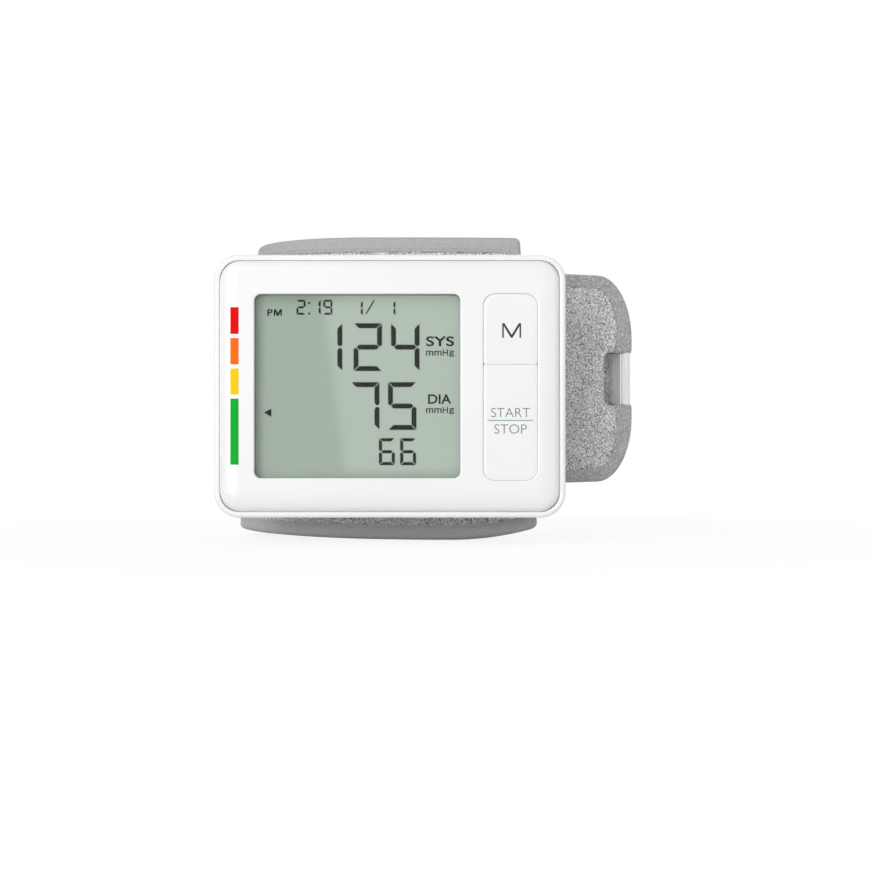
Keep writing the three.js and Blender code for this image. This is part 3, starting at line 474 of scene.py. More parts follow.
def strap_path():
    """The strap's middle line from above: a cubic curve from the seam, and then an arc beside the tab."""
    lap = bend_angle(STRAP_LAP_X, STRAP_RADIUS)
    end = bend_angle(STRAP_END_X, STRAP_RADIUS)
    hinge = np.array(STRAP_HINGE)
    leave = np.array(STRAP_LEAVE)
    meet = np.array(BEND_CENTRE) + STRAP_RADIUS * np.array([math.sin(lap), -math.cos(lap)])
    meet_way = np.array([math.cos(lap), math.sin(lap)])
    t = np.linspace(0, 1, 80)[:, None]
    first = (1 - t) ** 3 * hinge + 3 * t * (1 - t) ** 2 * (hinge + STRAP_EASE * leave)
    curve = first + 3 * t ** 2 * (1 - t) * (meet - STRAP_EASE * meet_way) + t ** 3 * meet
    rest = arc(BEND_CENTRE, STRAP_RADIUS, math.degrees(lap) - 90, math.degrees(end) - 90, 40)[1:]
    root = hinge - leave * STRAP_THICKNESS / 2
    return bend(np.vstack([root, curve, rest]))


def strip(path, runs, z_range, depths, corner, edge, count, relief=None):
    """A closed strip of cloth: a rounded section carried along the bend. At each end its height falls by a
    quarter circle of the corner radius, and its thickness by one of the edge radius."""
    low, high = z_range
    middle = (low + high) / 2
    half = (high - low) / 2
    depth = (depths[0] + depths[1]) / 2
    thick = (depths[1] - depths[0]) / 2
    section = densified(outline(2.0 * half, 2.0 * thick, edge, steps=6), 1.2)
    easing = (1 - np.cos(np.linspace(0, math.pi / 2, 9))) * max(corner, edge)
    body = np.linspace(runs[0] + easing[-1], runs[1] - easing[-1], count)
    run = np.concatenate([runs[0] + easing[:-1], body, (runs[1] - easing[:-1])[::-1]])
    near = np.minimum(run - runs[0], runs[1] - run)
    tall = half - corner + np.sqrt(np.maximum(corner ** 2 - np.maximum(corner - near, 0) ** 2, 0))
    thin = np.sqrt(np.maximum(1 - np.maximum(1 - near / edge, 0) ** 2, 0))
    z = middle + section[:, 0] * (tall / half)[:, None]
    d = depth + section[:, 1] * (1 - edge / thick * (1 - thin))[:, None]
    run = np.broadcast_to(run[:, None], z.shape)
    if relief is not None:
        d = d + relief(run, z, section[:, 1] / thick)
    return tube(wrapped(path, run, d, z))


def fold(width, depths):
    """Half of a superellipse as rows of inset and depth, from one lip of a folded tape to the other."""
    angle = np.linspace(-math.pi / 2, math.pi / 2, 23)
    middle = (depths[0] + depths[1]) / 2
    half = (depths[1] - depths[0]) / 2
    inset_power, depth_power = 0.3, 0.4
    inset = width * (1 - np.cos(angle) ** inset_power)
    depth = middle + half * np.sign(np.sin(angle)) * np.abs(np.sin(angle)) ** depth_power
    return np.column_stack([inset, depth])


def hoop(low, high, corner, inset, along=200, up=70):
    """A rounded rectangle between two corners, drawn in by the inset, with the same points at every inset:
    the corner arcs, and even points between them."""
    width, height = np.subtract(high, low) - 2 * inset
    x, z = np.add(low, high) / 2
    least = 0.1
    arcs = outline(width, height, max(corner - inset, least), x, z, 6)[:-1].reshape(4, -1, 2)
    following = np.roll(arcs, -1, axis=0)
    sides = [
        start[-1] + np.linspace(0, 1, count + 2)[1:-1, None] * (end[0] - start[-1])
        for start, end, count in zip(arcs, following, (along, up, along, up))
    ]
    loop = np.vstack([part for pair in zip(arcs, sides) for part in pair])
    return np.vstack([loop, loop[:1]])


def binding(path, low, high, corner, width, depths, thick):
    """A tape folded over an edge: its outer face, and the same face drawn in by its thickness, carried round
    a rounded rectangle."""
    outer = fold(width, depths)
    inner = fold(width - thick, (depths[0] + thick, depths[1] - thick)) + (thick, 0)
    section = np.vstack([outer, inner[::-1], outer[:1]])
    hoops = [(hoop(low, high, corner, inset), depth) for inset, depth in section]
    return skin(np.stack([wrapped(path, loop[:, 0], depth, loop[:, 1]) for loop, depth in hoops], axis=1))


def stitches(path, track, depth):
    """A row of thread dashes: a capsule of six sides on each pitch of the track, half sunk in the cloth."""
    pitch = millimetres("stitch_pitch")
    radius = millimetres("thread")
    dash_share = 0.72
    nearby = 0.1
    steps = run_along(track)
    at = np.arange(pitch / 2, steps[-1], pitch)
    ends = [
        np.column_stack([np.interp(at + way, steps, column) for column in track.T])
        for way in (-nearby, nearby)
    ]
    along = (ends[1] - ends[0]) / np.linalg.norm(ends[1] - ends[0], axis=1, keepdims=True)
    middle = (ends[0] + ends[1]) / 2
    reach = np.array([-0.5, -0.42, 0.0, 0.42, 0.5])[:, None] * pitch * dash_share
    girth = np.array([0.0, 0.75, 1.0, 0.75, 0.0])[:, None] * radius
    turn = np.linspace(0, 2 * math.pi, 7)
    side = girth * np.cos(turn)
    lift = girth * np.sin(turn)
    run = middle[:, None, None, 0] + along[:, None, None, 0] * reach - along[:, None, None, 1] * side
    z = middle[:, None, None, 1] + along[:, None, None, 1] * reach + along[:, None, None, 0] * side
    return copies(wrapped(path, run, depth + np.broadcast_to(lift, run.shape), z))


# Pieces


def mesh_points(mesh):
    """A mesh's points as rows."""
    points = np.zeros(len(mesh.vertices) * 3)
    mesh.vertices.foreach_get("co", points)
    return points.reshape(-1, 3)


def mesh_of(name, parts):
    """One mesh from parts of points, faces and UV, its doubles merged and its faces turned outwards."""
    counts = np.cumsum([0] + [len(part[0]) for part in parts])
    points = np.vstack([part[0] for part in parts]) * MM + CASE_PLACE
    uv = np.vstack([part[2] for part in parts]) * MM
    faces = [face for part, start in zip(parts, counts) for face in (part[1] + start).tolist()]
    mesh = bpy.data.meshes.new(name)
    mesh.from_pydata(points.tolist(), [], faces)
    corners = np.zeros(len(mesh.loops), dtype=np.int32)
    mesh.loops.foreach_get("vertex_index", corners)
    mesh.uv_layers.new(name="UVMap").data.foreach_set("uv", uv[corners].astype(np.float32).ravel())
    work = bmesh.new()
    work.from_mesh(mesh)
    bmesh.ops.remove_doubles(work, verts=work.verts, dist=MERGE * MM)
    bmesh.ops.dissolve_degenerate(work, edges=work.edges, dist=SLIVER * MM)
    bmesh.ops.recalc_face_normals(work, faces=work.faces)
    work.to_mesh(mesh)
    work.free()
    return mesh


def make_piece(name, shape, material, body, replaces=(), sharp=40.0):
    """A finished piece that rides on its body, with its edges sharp past the angle. Its shape is parts or a
    mesh."""
    mesh = shape if isinstance(shape, bpy.types.Mesh) else mesh_of(name, shape)
    mesh.name = name
    mesh.shade_smooth()
    mesh.set_sharp_from_angle(angle=math.radians(sharp))
    mesh.materials.clear()
    mesh.materials.append(material)
    piece = bpy.data.objects.new(name, mesh)
    bpy.context.scene.collection.objects.link(piece)
    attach(piece, body)
    if replaces:
        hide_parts(*replaces)
    return piece


def carved(base, steps):
    """A base solid changed by boolean steps in order, each UNION, INTERSECT or DIFFERENCE with its tools."""
    made = [bpy.data.objects.new("base", mesh_of("base", base))]
    made += [bpy.data.objects.new("tool", mesh_of("tool", tool)) for _, tools in steps for tool in tools]
    operations = [operation for operation, tools in steps for _ in tools]
    for item in made:
        bpy.context.scene.collection.objects.link(item)
    for operation, tool in zip(operations, made[1:]):
        cut = made[0].modifiers.new("step", "BOOLEAN")
        cut.operation = operation
        cut.solver = "EXACT"
        cut.object = tool
    graph = bpy.context.evaluated_depsgraph_get()
    mesh = bpy.data.meshes.new_from_object(made[0].evaluated_get(graph))
    if not mesh.polygons:
        raise RuntimeError("a boolean step left nothing")
    for item in made:
        bpy.data.meshes.remove(item.data)
    return mesh


def mesh_parts(mesh):
    """A made mesh as parts in the case frame, so that it can be a tool in turn."""
    work = bmesh.new()
    work.from_mesh(mesh)
    bmesh.ops.triangulate(work, faces=work.faces)
    work.to_mesh(mesh)
    work.free()
    faces = np.zeros(len(mesh.polygons) * 3, dtype=np.int32)
    mesh.polygons.foreach_get("vertices", faces)
    points = (mesh_points(mesh) - CASE_PLACE) / MM
    bpy.data.meshes.remove(mesh)
    return [(points, faces.reshape(-1, 3), points[:, :2])]


def even_normals(piece):
    """Large flat faces keep their own normal beside rounded edges."""
    piece.modifiers.new("even normals", "WEIGHTED_NORMAL").keep_sharp = True


def font_mesh(name, letters, weight):
    """Letters as a slab mesh: the font's outline, offset by the weight and given a thickness."""
    curve = bpy.data.curves.new(name, "FONT")
    curve.body = letters
    curve.offset = weight
    curve.extrude = 0.5
    curve.resolution_u = 6
    source = bpy.data.objects.new(name, curve)
    bpy.context.scene.collection.objects.link(source)
    graph = bpy.context.evaluated_depsgraph_get()
    mesh = bpy.data.meshes.new_from_object(source.evaluated_get(graph))
    bpy.data.curves.remove(curve)
    return mesh


def lettering(name, groups, front, weight):
    """A word as a film of ink: each group of letters is scaled to fill its own rectangle on the front."""
    work = bmesh.new()
    for letters, x_range, z_range in groups:
        mesh = font_mesh(name, letters, weight)
        points = mesh_points(mesh)
        share = (points - points.min(axis=0)) / np.ptp(points, axis=0)
        x = x_range[0] + share[:, 0] * (x_range[1] - x_range[0])
        y = front - share[:, 2] * millimetres("ink")
        z = z_range[0] + share[:, 1] * (z_range[1] - z_range[0])
        placed = np.column_stack([x, y, z]) * MM + CASE_PLACE
        mesh.vertices.foreach_set("co", placed.ravel())
        work.from_mesh(mesh)
        bpy.data.meshes.remove(mesh)
    bmesh.ops.remove_doubles(work, verts=work.verts, dist=SLIVER * MM)
    bmesh.ops.recalc_face_normals(work, faces=work.faces)
    word = bpy.data.meshes.new(name)
    work.to_mesh(word)
    work.free()
    return word


def letter_m(x, z, wide, tall, stroke):
    """The outline of a capital M on its base, with its middle on x: a right half and its mirror."""
    half = wide / 2
    valley, shoulder, point = 1.9 * stroke, 1.4 * stroke, 0.55 * stroke
    right = np.array([
        (0.0, valley), (half - shoulder, tall), (half, tall), (half, 0.0), (half - stroke, 0.0),
        (half - stroke, tall - valley), (point, 0.0),
    ])
    return np.vstack([right, right[:0:-1] * (-1, 1), right[:1]]) + (x, z)


# Segments of a digit, by the names that display makers use
DIGIT_SEGMENTS = {
    "1": "bc", "2": "abged", "4": "fgbc", "5": "afgcd", "6": "afgecd", "7": "abc", "9": "abcdfg",
}

# The most that a gap at a mitre takes, and its share of a thin stroke
DIGIT_GAP = 0.13
DIGIT_GAP_SHARE = 0.16


def digit(character, right, top, width, height, stroke):
    """The driven segments of one digit: bars with ends cut at 45 degrees, a gap apart at their mitres."""
    gap = min(DIGIT_GAP, DIGIT_GAP_SHARE * stroke)
    half = stroke / 2
    mid = height / 2
    side = np.array([
        (0, height - gap), (0, mid + half * 0.6 + gap), (half, mid + gap), (stroke, mid + half + gap),
        (stroke, height - stroke - gap),
    ])
    cap = np.array([
        (gap, height), (width - gap, height), (width - stroke - gap, height - stroke),
        (stroke + gap, height - stroke),
    ])
    bar = np.array([
        (half + gap, mid), (stroke + gap, mid + half), (width - stroke - gap, mid + half),
        (width - half - gap, mid), (width - stroke - gap, mid - half), (stroke + gap, mid - half),
    ])
    across = np.array([-1, 1])
    down = np.array([1, -1])
    shapes = {
        "a": cap, "d": cap * down + (0, height), "g": bar, "f": side, "e": side * down + (0, height),
        "b": side * across + (width, 0), "c": (width, height) - side,
    }
    place = np.array([right - width, top - height])
    return [np.vstack([shapes[s], shapes[s][:1]]) + place for s in DIGIT_SEGMENTS[character]]


# Finishes


WHITE = (1.0, 1.0, 1.0, 1.0)


def add(tree, kind, inputs=None, **settings):
    """Adds a node. Settings are its own values; an input is linked where it is a socket, and else set."""
    made = tree.nodes.new(kind)
    for key, value in settings.items():
        setattr(made, key, value)
    for key, value in (inputs or {}).items():
        socket = made.inputs[key]
        if isinstance(value, bpy.types.NodeSocket):
            tree.links.new(value, socket)
        else:
            socket.default_value = value
    return made


def made_material(name, build):
    """The material of that name, made at its first use with the shader that a function describes."""
    made = bpy.data.materials.get(name)
    if made is None:
        made = bpy.data.materials.new(name)
        made.use_nodes = True
        made.node_tree.nodes.clear()
        add(made.node_tree, "ShaderNodeOutputMaterial", {"Surface": build(made.node_tree)})
    return made


def finish(build):
    """Turns a function that describes a shader into one that gives its material, named after it."""
    return lambda: made_material(build.__name__, build)


def per_metre(size):
    """How many times a pattern of that size in millimetres comes in a metre."""
    return 1 / (size * MM)


def noise(tree, place, size, detail, **more):
    """Noise from nought to one, with grains of that size in millimetres."""
    inputs = {"Vector": place, "Scale": per_metre(size), "Detail": detail, **more}
    return add(tree, "ShaderNodeTexNoise", inputs).outputs["Fac"]


def ranged(tree, value, start, end, low, high):
    """A value that runs from low to high while another runs from start to end."""
    inputs = {"Value": value, "From Min": start, "From Max": end, "To Min": low, "To Max": high}
    return add(tree, "ShaderNodeMapRange", inputs).outputs["Result"]


def blend(tree, share, first, second):
    """A colour that goes from the first to the second with the share. Sockets 6 and 7 take the colours."""
    return add(tree, "ShaderNodeMix", {0: share, 6: first, 7: second}, data_type="RGBA").outputs[2]


def reckon(tree, operation, first, second):
    """The result of one operation on two values."""
    return add(tree, "ShaderNodeMath", {0: first, 1: second}, operation=operation).outputs["Value"]


def stretched(tree, place, scale):
    """A place whose axes are scaled apart, so that a pattern on it is drawn out along the smallest."""
    return add(tree, "ShaderNodeMapping", {"Vector": place, "Scale": scale}).outputs["Vector"]


def bumped(tree, height, strength, distance):
    """A normal tilted by a height whose full rise is the distance in millimetres."""
    inputs = {"Height": height, "Strength": strength, "Distance": distance * MM}
    return add(tree, "ShaderNodeBump", inputs).outputs["Normal"]


def principled(tree, inputs):
    """The shader that most finishes end in."""
    return add(tree, "ShaderNodeBsdfPrincipled", inputs).outputs["BSDF"]


def mix_shaders(tree, share, first, second):
    """A shader that goes from the first to the second with the share."""
    return add(tree, "ShaderNodeMixShader", {0: share, 1: first, 2: second}).outputs["Shader"]


def object_place(tree):
    """The place on an object, in metres."""
    return add(tree, "ShaderNodeTexCoord").outputs["Object"]


def darkened(tone, share):
    """A colour times a share, which may differ for red, green and blue."""
    return (*np.multiply(tone[:3], share).tolist(), 1.0)


def moulded(tree, tone, roughness, grain, height, ior=1.53, spread=0.06):
    """Shader of a moulded plastic: a grain of that size varies its gloss by the spread, and lifts the
    surface by the height. A drift 25 mm wide takes up to a twenty-fifth off its tone."""
    place = object_place(tree)
    texture = noise(tree, place, grain, 3.0)
    drift = noise(tree, place, 25.0, 1.0)
    return principled(tree, {
        "Base Color": blend(tree, drift, darkened(tone, (0.96, 0.96, 0.965)), tone),
        "Roughness": ranged(tree, texture, 0.3, 0.7, roughness - spread, roughness + spread),
        "IOR": ior,
        "Normal": bumped(tree, texture, 0.5, height),
    })


@finish
def polished_moulded_abs(tree):
    # ABS from a polished tool: an even gloss with a faint orange peel 3 mm across
    return moulded(tree, paint("case"), roughness=0.26, grain=3.0, height=0.002, spread=0.01)


@finish
def satin_moulded_abs(tree):
    # ABS from a spark-eroded tool: softer gloss. The grit of 0.1 mm is drawn at 0.35 mm so that it shows
    return moulded(tree, paint("key"), roughness=0.42, grain=0.35, height=0.004, spread=0.03)


@finish
def black_moulded_nylon(tree):
    # Glass-filled nylon: dark and half matt, with a grain of about 0.4 mm
    return moulded(tree, hex_paint("242426"), roughness=0.5, grain=0.4, height=0.02)


@finish
def milky_silicone(tree):
    # Extruded silicone: milky white with a soft skin
    return moulded(tree, hex_paint("DAD9D3"), roughness=0.55, grain=0.8, height=0.02, ior=1.41)


@finish
def spun_polyester_thread(tree):
    # Twisted thread: a matt grey with a fine mottle, a shade darker than the cloth
    return moulded(tree, hex_paint("ADADAD"), roughness=0.75, grain=0.3, height=0.02)


@finish
def moulded_hook_tape(tree):
    # Nylon hook tape: half matt dark grey, with its hooks modelled
    return moulded(tree, paint("hook"), roughness=0.55, grain=0.5, height=0.02)


@finish
def glass_fibre_board(tree):
    # Glass-epoxy laminate under green solder mask: glossy, with the 0.8 mm cloth faintly seen
    return moulded(tree, hex_paint("1F5B34"), roughness=0.35, grain=0.8, height=0.02, ior=1.55)


@finish
def welded_bladder_film(tree):
    # Calendered film with a fine leather grain of about 0.7 mm
    return moulded(tree, hex_paint("6F7174"), roughness=0.6, grain=0.7, height=0.05)


@finish
def calendered_stay_sheet(tree):
    # Polypropylene sheet: milky, with a soft sheen
    return moulded(tree, hex_paint("CFD5D2"), roughness=0.4, grain=1.2, height=0.02, ior=1.49)


def ink(name, tone):
    """Printed ink of one colour: a thin even film whose gloss varies with a 1 mm mottle."""
    def shader(tree):
        return moulded(tree, tone, roughness=0.6, grain=1.0, height=0.002, ior=1.2)
    return made_material(name, shader)


@finish
def clear_cast_acrylic(tree):
    # Cast acrylic sheet with a coating against glare: clear, with a faint sharp reflection on its outer face
    # and fine wipe marks 2 mm apart
    wipe = noise(tree, object_place(tree), 2.0, 2.0)
    through = add(tree, "ShaderNodeBsdfTransparent").outputs["BSDF"]
    haze = ranged(tree, wipe, 0.0, 1.0, 0.02, 0.05)
    shine = add(tree, "ShaderNodeBsdfGlossy", {"Roughness": haze}).outputs["BSDF"]
    edge = add(tree, "ShaderNodeFresnel", {"IOR": 1.28}).outputs["Fac"]
    inner = add(tree, "ShaderNodeNewGeometry").outputs["Backfacing"]
    share = reckon(tree, "MULTIPLY", edge, reckon(tree, "SUBTRACT", 1.0, inner))
    return mix_shaders(tree, share, through, shine)


@finish
def reflective_lcd_film(tree):
    # Rear film of a reflective display: grey-green, with a half-sharp shine behind the segments and a grain
    # of 0.5 mm
    place = object_place(tree)
    grain = noise(tree, place, 0.5, 2.0)
    drift = noise(tree, place, 40.0, 0.0)
    tone = paint("lcd")
    return principled(tree, {
        "Base Color": blend(tree, drift, darkened(tone, (0.93, 0.94, 0.95)), tone),
        "Roughness": ranged(tree, grain, 0.0, 1.0, 0.03, 0.05),
        "IOR": 1.8,
    })


def heather(tree, contrast, shade=1.0):
    """Shader of a loop knit from mixed grey fibres. The contrast is how far pale and dark fibres stand out,
    and the shade is a share that darkens the cloth between them."""
    place = object_place(tree)
    fibre = noise(tree, place, 0.55, 3.0, Roughness=0.65)
    fleck = noise(tree, place, 0.4, 1.0, Distortion=0.6)
    patch = noise(tree, place, 4.0, 2.0)
    loop = add(tree, "ShaderNodeTexVoronoi", {"Vector": place, "Scale": per_metre(0.6), "Randomness": 0.9})
    cloudy = ranged(tree, patch, 0.3, 0.7, 0.0, 0.22 * contrast)
    dark = ranged(tree, fibre, 0.51, 0.4, 0.0, 0.9 * contrast)
    light = ranged(tree, fleck, 0.52, 0.61, 0.0, 0.9 * contrast)
    tint = blend(tree, cloudy, darkened(paint("loop_base"), shade), paint("loop_dark"))
    tint = blend(tree, dark, tint, paint("loop_dark"))
    tint = blend(tree, light, tint, paint("loop_light"))
    pile = reckon(tree, "ADD", loop.outputs["Distance"], fibre)
    return principled(tree, {
        "Base Color": tint, "Roughness": 0.92, "Sheen Weight": 0.25, "Sheen Roughness": 0.5,
        "Normal": bumped(tree, pile, 0.7 * contrast, 0.16),
    })


@finish
def heather_loop_cloth(tree):
    # Brushed loop knit: loops 0.6 mm across, with pale and dark fibres 0.4 mm wide that stand up and glitter
    return heather(tree, contrast=1.0)


@finish
def pressed_loop_cloth(tree):
    # The same knit where a hot press has laid its pile flat: smoother, with the fibres faint
    return heather(tree, contrast=0.4, shade=0.62)


def melange(tree, tone, fibre, height, shade=0.78):
    """Shader of cloth from mixed yarn on the piece's own UV: fibres of that width, four times as long as
    wide, that darken the tone to the shade."""
    place = add(tree, "ShaderNodeTexCoord").outputs["UV"]
    yarn = noise(tree, stretched(tree, place, (0.25, 1.0, 1.0)), fibre, 3.0, Roughness=0.6)
    share = ranged(tree, yarn, 0.32, 0.66, 0.0, 1.0)
    return principled(tree, {
        "Base Color": blend(tree, share, darkened(tone, shade), tone),
        "Roughness": 0.88, "Sheen Weight": 0.2, "Sheen Roughness": 0.45,
        "Normal": bumped(tree, yarn, 0.5, height),
    })


@finish
def woven_binding_tape(tree):
    # Polyester tape woven from mixed grey yarn: fine streaks 0.35 mm wide that run along the tape
    return melange(tree, paint("hem"), fibre=0.35, height=0.06)


@finish
def strap_tape_painted_lighter(tree):
    # The same tape for the strap's edge, with painted light: its colour is made paler than the cuff's
    # binding to make up for the shade that it lies in, in the tab's notch
    return melange(tree, paint("strap_hem_painted_light"), fibre=0.35, height=0.06)


@finish
def brushed_lining_knit(tree):
    # Polyester knit with a brushed face: soft streaks 0.6 mm wide, darker in the valleys
    return melange(tree, paint("lining"), fibre=0.6, height=0.12, shade=0.65)


@finish
def zinc_plated_steel(tree):
    # Bright zinc on pressed steel: silvery, with drawing lines about 0.3 mm apart
    lines = noise(tree, stretched(tree, object_place(tree), (1.0, 1.0, 0.08)), 0.3, 3.0)
    return principled(tree, {
        "Base Color": hex_paint("C3C6CA"),
        "Metallic": 1.0,
        "Roughness": ranged(tree, lines, 0.0, 1.0, 0.2, 0.45),
    })


@finish
def printed_cell_jacket(tree):
    # Shrunk label on a dry cell: a dark grey film, pale at its upper end, with a 1.5 mm mottle in its gloss
    place = object_place(tree)
    height = add(tree, "ShaderNodeSeparateXYZ", {"Vector": place}).outputs["Z"]
    ring = reckon(tree, "GREATER_THAN", height, float(CASE_PLACE[2]) + 12.5 * MM)
    mottle = noise(tree, place, 1.5, 2.0)
    return principled(tree, {
        "Base Color": blend(tree, ring, hex_paint("33373C"), hex_paint("B9BDC2")),
        "Roughness": ranged(tree, mottle, 0.0, 1.0, 0.2, 0.4),
        "Metallic": 0.35,
    })


def eye_rays(tree):
    """One for a ray from the camera, off a glossy surface or through a clear one, and nought for others."""
    path = add(tree, "ShaderNodeLightPath").outputs
    first = reckon(tree, "MAXIMUM", path["Is Camera Ray"], path["Is Glossy Ray"])
    return reckon(tree, "MAXIMUM", first, path["Is Transmission Ray"])


@finish
def paper_floor(tree):
    # Matt white paper with a 2 mm fibre mottle: a soft shadow shows on it near the object, and far off it is
    # plain white
    place = object_place(tree)
    tint = blend(tree, noise(tree, place, 2.0, 2.0), (0.80, 0.80, 0.80, 1.0), (0.84, 0.84, 0.84, 1.0))
    matt = add(tree, "ShaderNodeBsdfDiffuse", {"Color": tint}).outputs["BSDF"]
    glow = add(tree, "ShaderNodeEmission", {"Color": WHITE, "Strength": 1.085}).outputs["Emission"]
    away = add(tree, "ShaderNodeVectorMath", {0: place}, operation="LENGTH").outputs["Value"]
    plain = ranged(tree, away, 0.12, 0.4, 0.8, 1.0)
    return mix_shaders(tree, reckon(tree, "MULTIPLY", eye_rays(tree), plain), matt, glow)


# Pieces by operator


def panel_depth(x):
    """Depth of the panel's front at x on its left half: flat, then a quarter ellipse to the edge."""
    width = millimetres("roll_width")
    inset = np.clip(x + CASE_WIDTH / 2 - CASE_WALL - FIT_GAP, 0, width)
    return millimetres("roll_depth") * (1 - np.sqrt(1 - (1 - inset / width) ** 2))


class MONITOR_OT_front_panel(bpy.types.Operator):
    """The front panel: a flat face that rolls to its edge, with a window and a key slot with rounded lips"""

    bl_idname = "monitor.front_panel"
    bl_label = "Front panel"

    # A narrow flat beside each round, which holds the face level
    FLAT = 0.1
    # How far the skirt stands out, where its step starts and ends behind the roll, and its root on the panel
    SKIRT_PROUD = 0.22
    SKIRT_STEP = (0.1, 0.14)
    SKIRT_ROOT = 0.4

    def execute(self, context):
        inset = CASE_WALL + FIT_GAP
        size = (CASE_WIDTH - 2 * inset, CASE_HEIGHT - 2 * inset, CASE_CORNER - CASE_WALL, 0.0, 0.0)
        roll = quarter(millimetres("roll_width"), millimetres("roll_depth"), 14)
        start, end = roll[-1, 1] + self.SKIRT_STEP
        skirt = [
            (0, start), (-self.SKIRT_PROUD, end), (-self.SKIRT_PROUD, PANEL_SKIRT),
            (PANEL_SKIRT_WALL, PANEL_SKIRT), (PANEL_SKIRT_WALL, PANEL_SKIRT - self.SKIRT_ROOT),
            (PANEL_SKIRT_WALL + PANEL_THICKNESS, PANEL_THICKNESS),
        ]
        tray = block_rings(*size, np.vstack([roll[0] + (self.FLAT, 0), roll, skirt]))
        lip = quarter(millimetres("lip_round"), millimetres("lip_fall"), 6)
        lip[:, 0] *= -1
        sides = np.vstack([lip[0] - (self.FLAT, 0), lip, (0, PANEL_THICKNESS)])
        grids = (tray, block_rings(*WINDOW, sides), block_rings(*SLOT, sides))
        parts = [skin(grid) for grid in grids]
        parts += [flat_fill([grid[row][:, [0, 2]] for grid in grids], tray[row, 0, 1]) for row in (0, -1)]
        make_piece("panel_moulding", parts, polished_moulded_abs(), "monitor", ["front_panel"])
        return {"FINISHED"}


class MONITOR_OT_level_bars(bpy.types.Operator):
    """The four level bars printed down the panel's left side: thin films that follow its roll"""

    bl_idname = "monitor.level_bars"
    bl_label = "Level bars"

    PLACES = {"red": (13.0, 19.7), "orange": (5.4, 12.0), "yellow": (-2.1, 4.4), "green": (-19.6, -3.1)}
    EDGES = (-39.75, -37.65)

    def execute(self, context):
        x = np.linspace(*self.EDGES, 13)
        y = panel_depth(x)
        film = millimetres("ink")
        section = np.column_stack([np.append(x, x[::-1]), np.append(y - film, y[::-1] + film)])
        section = np.vstack([section, section[:1]])
        for name, (low, high) in self.PLACES.items():
            grid = np.stack([np.column_stack([section, np.full(len(section), z)]) for z in (low, high)])
            print_ink = ink(f"screen_printed_{name}_ink", paint(name))
            make_piece(f"level_bar_{name}", tube(grid), print_ink, "monitor")
        return {"FINISHED"}


def case_form(rows):
    """A closed form with the case's outline, drawn in by the inset at each row's depth."""
    return tube(block_rings(CASE_WIDTH, CASE_HEIGHT, CASE_CORNER, 0, 0, rows, 18))


def case_outer():
    """The closed outer form of the rear case: a rounded front edge, straight sides, a large rear round."""
    front = quarter(millimetres("rim_round"), millimetres("rim_round"), 6) + (0, RIM_FRONT)
    back = quarter(CASE_BACK_ROUND, CASE_BACK_ROUND, 14)[::-1]
    back[:, 1] = CASE_DEPTH - back[:, 1]
    return case_form(np.vstack([front, back]))


def case_cavity(spare):
    """The hollow of the rear case, shrunk by the spare, with a small round on its mouth."""
    inset = CASE_WALL + spare
    round_size = CASE_BACK_ROUND - CASE_WALL
    back = quarter(round_size, round_size, 10)[::-1] + (inset, 0)
    back[:, 1] = FLOOR_FACE - spare - back[:, 1]
    return case_form(np.vstack([np.array(MOUTH) + (inset, RIM_FRONT), back]))


def door_zone(spare):
    """The part of the case that the battery door takes up, grown by the spare."""
    half = DOOR_HALF + spare
    return box(-CASE_WIDTH, DOOR_RIGHT + spare, DOOR_FRONT - spare, CASE_DEPTH + CUT_PAST, -half, half)


class MONITOR_OT_rear_case(bpy.types.Operator):
    """The rear case: a rounded shell with a battery bay, a doorway, four sunk screw holes and an air hole"""

    bl_idname = "monitor.rear_case"
    bl_label = "Rear case"

    # The bay's left wall, and how far its walls stop short of the case's back
    BAY_LEFT_WALL = 0.7
    BAY_SHORT = 0.9
    # The posts round the screws, which end inside the case's back
    POST_RADIUS = 2.9
    POST_FRONT = 15.0
    POST_SHORT = 1.0
    BORE_RADIUS = 1.1
    BORE_FRONT = 14.0
    HEAD_HOLE_RADIUS = 2.0
    AIR_FRONT = 20.0

    def execute(self, context):
        left, right, ceiling, half = BAY
        tall = half + BAY_WALL
        past = CASE_DEPTH + CUT_PAST
        block = box(
            left - self.BAY_LEFT_WALL, right + BAY_WALL, ceiling - BAY_WALL, CASE_DEPTH - self.BAY_SHORT,
            -tall, tall,
        )
        hollow = box(left, right, ceiling, past, -half, half)
        doorway = mesh_parts(carved(door_zone(FIT_GAP), [("DIFFERENCE", [case_cavity(FIT_GAP)])]))
        post = np.array([
            (self.POST_FRONT, self.POST_RADIUS), (CASE_DEPTH - self.POST_SHORT, self.POST_RADIUS),
        ])
        bore = np.array([
            (self.BORE_FRONT, self.BORE_RADIUS), (SCREW_SEAT, self.BORE_RADIUS),
            (SCREW_SEAT, self.HEAD_HOLE_RADIUS), (past, self.HEAD_HOLE_RADIUS),
        ])
        posts = [turned(post, place) for place in SCREW_PLACES]
        bores = [turned(bore, place) for place in SCREW_PLACES]
        air = turned(np.array([(self.AIR_FRONT, AIR_HOLE[0]), (past, AIR_HOLE[0])]), AIR_HOLE[1:])
        shell = carved(case_outer(), [
            ("DIFFERENCE", [case_cavity(0)]), ("UNION", [block, *posts]), ("INTERSECT", [case_outer()]),
            ("DIFFERENCE", [hollow, doorway, *bores, air]),
        ])
        piece = make_piece(
            "rear_shell", shell, polished_moulded_abs(), "monitor", ["rear_case"], sharp=30.0,
        )
        even_normals(piece)
        return {"FINISHED"}


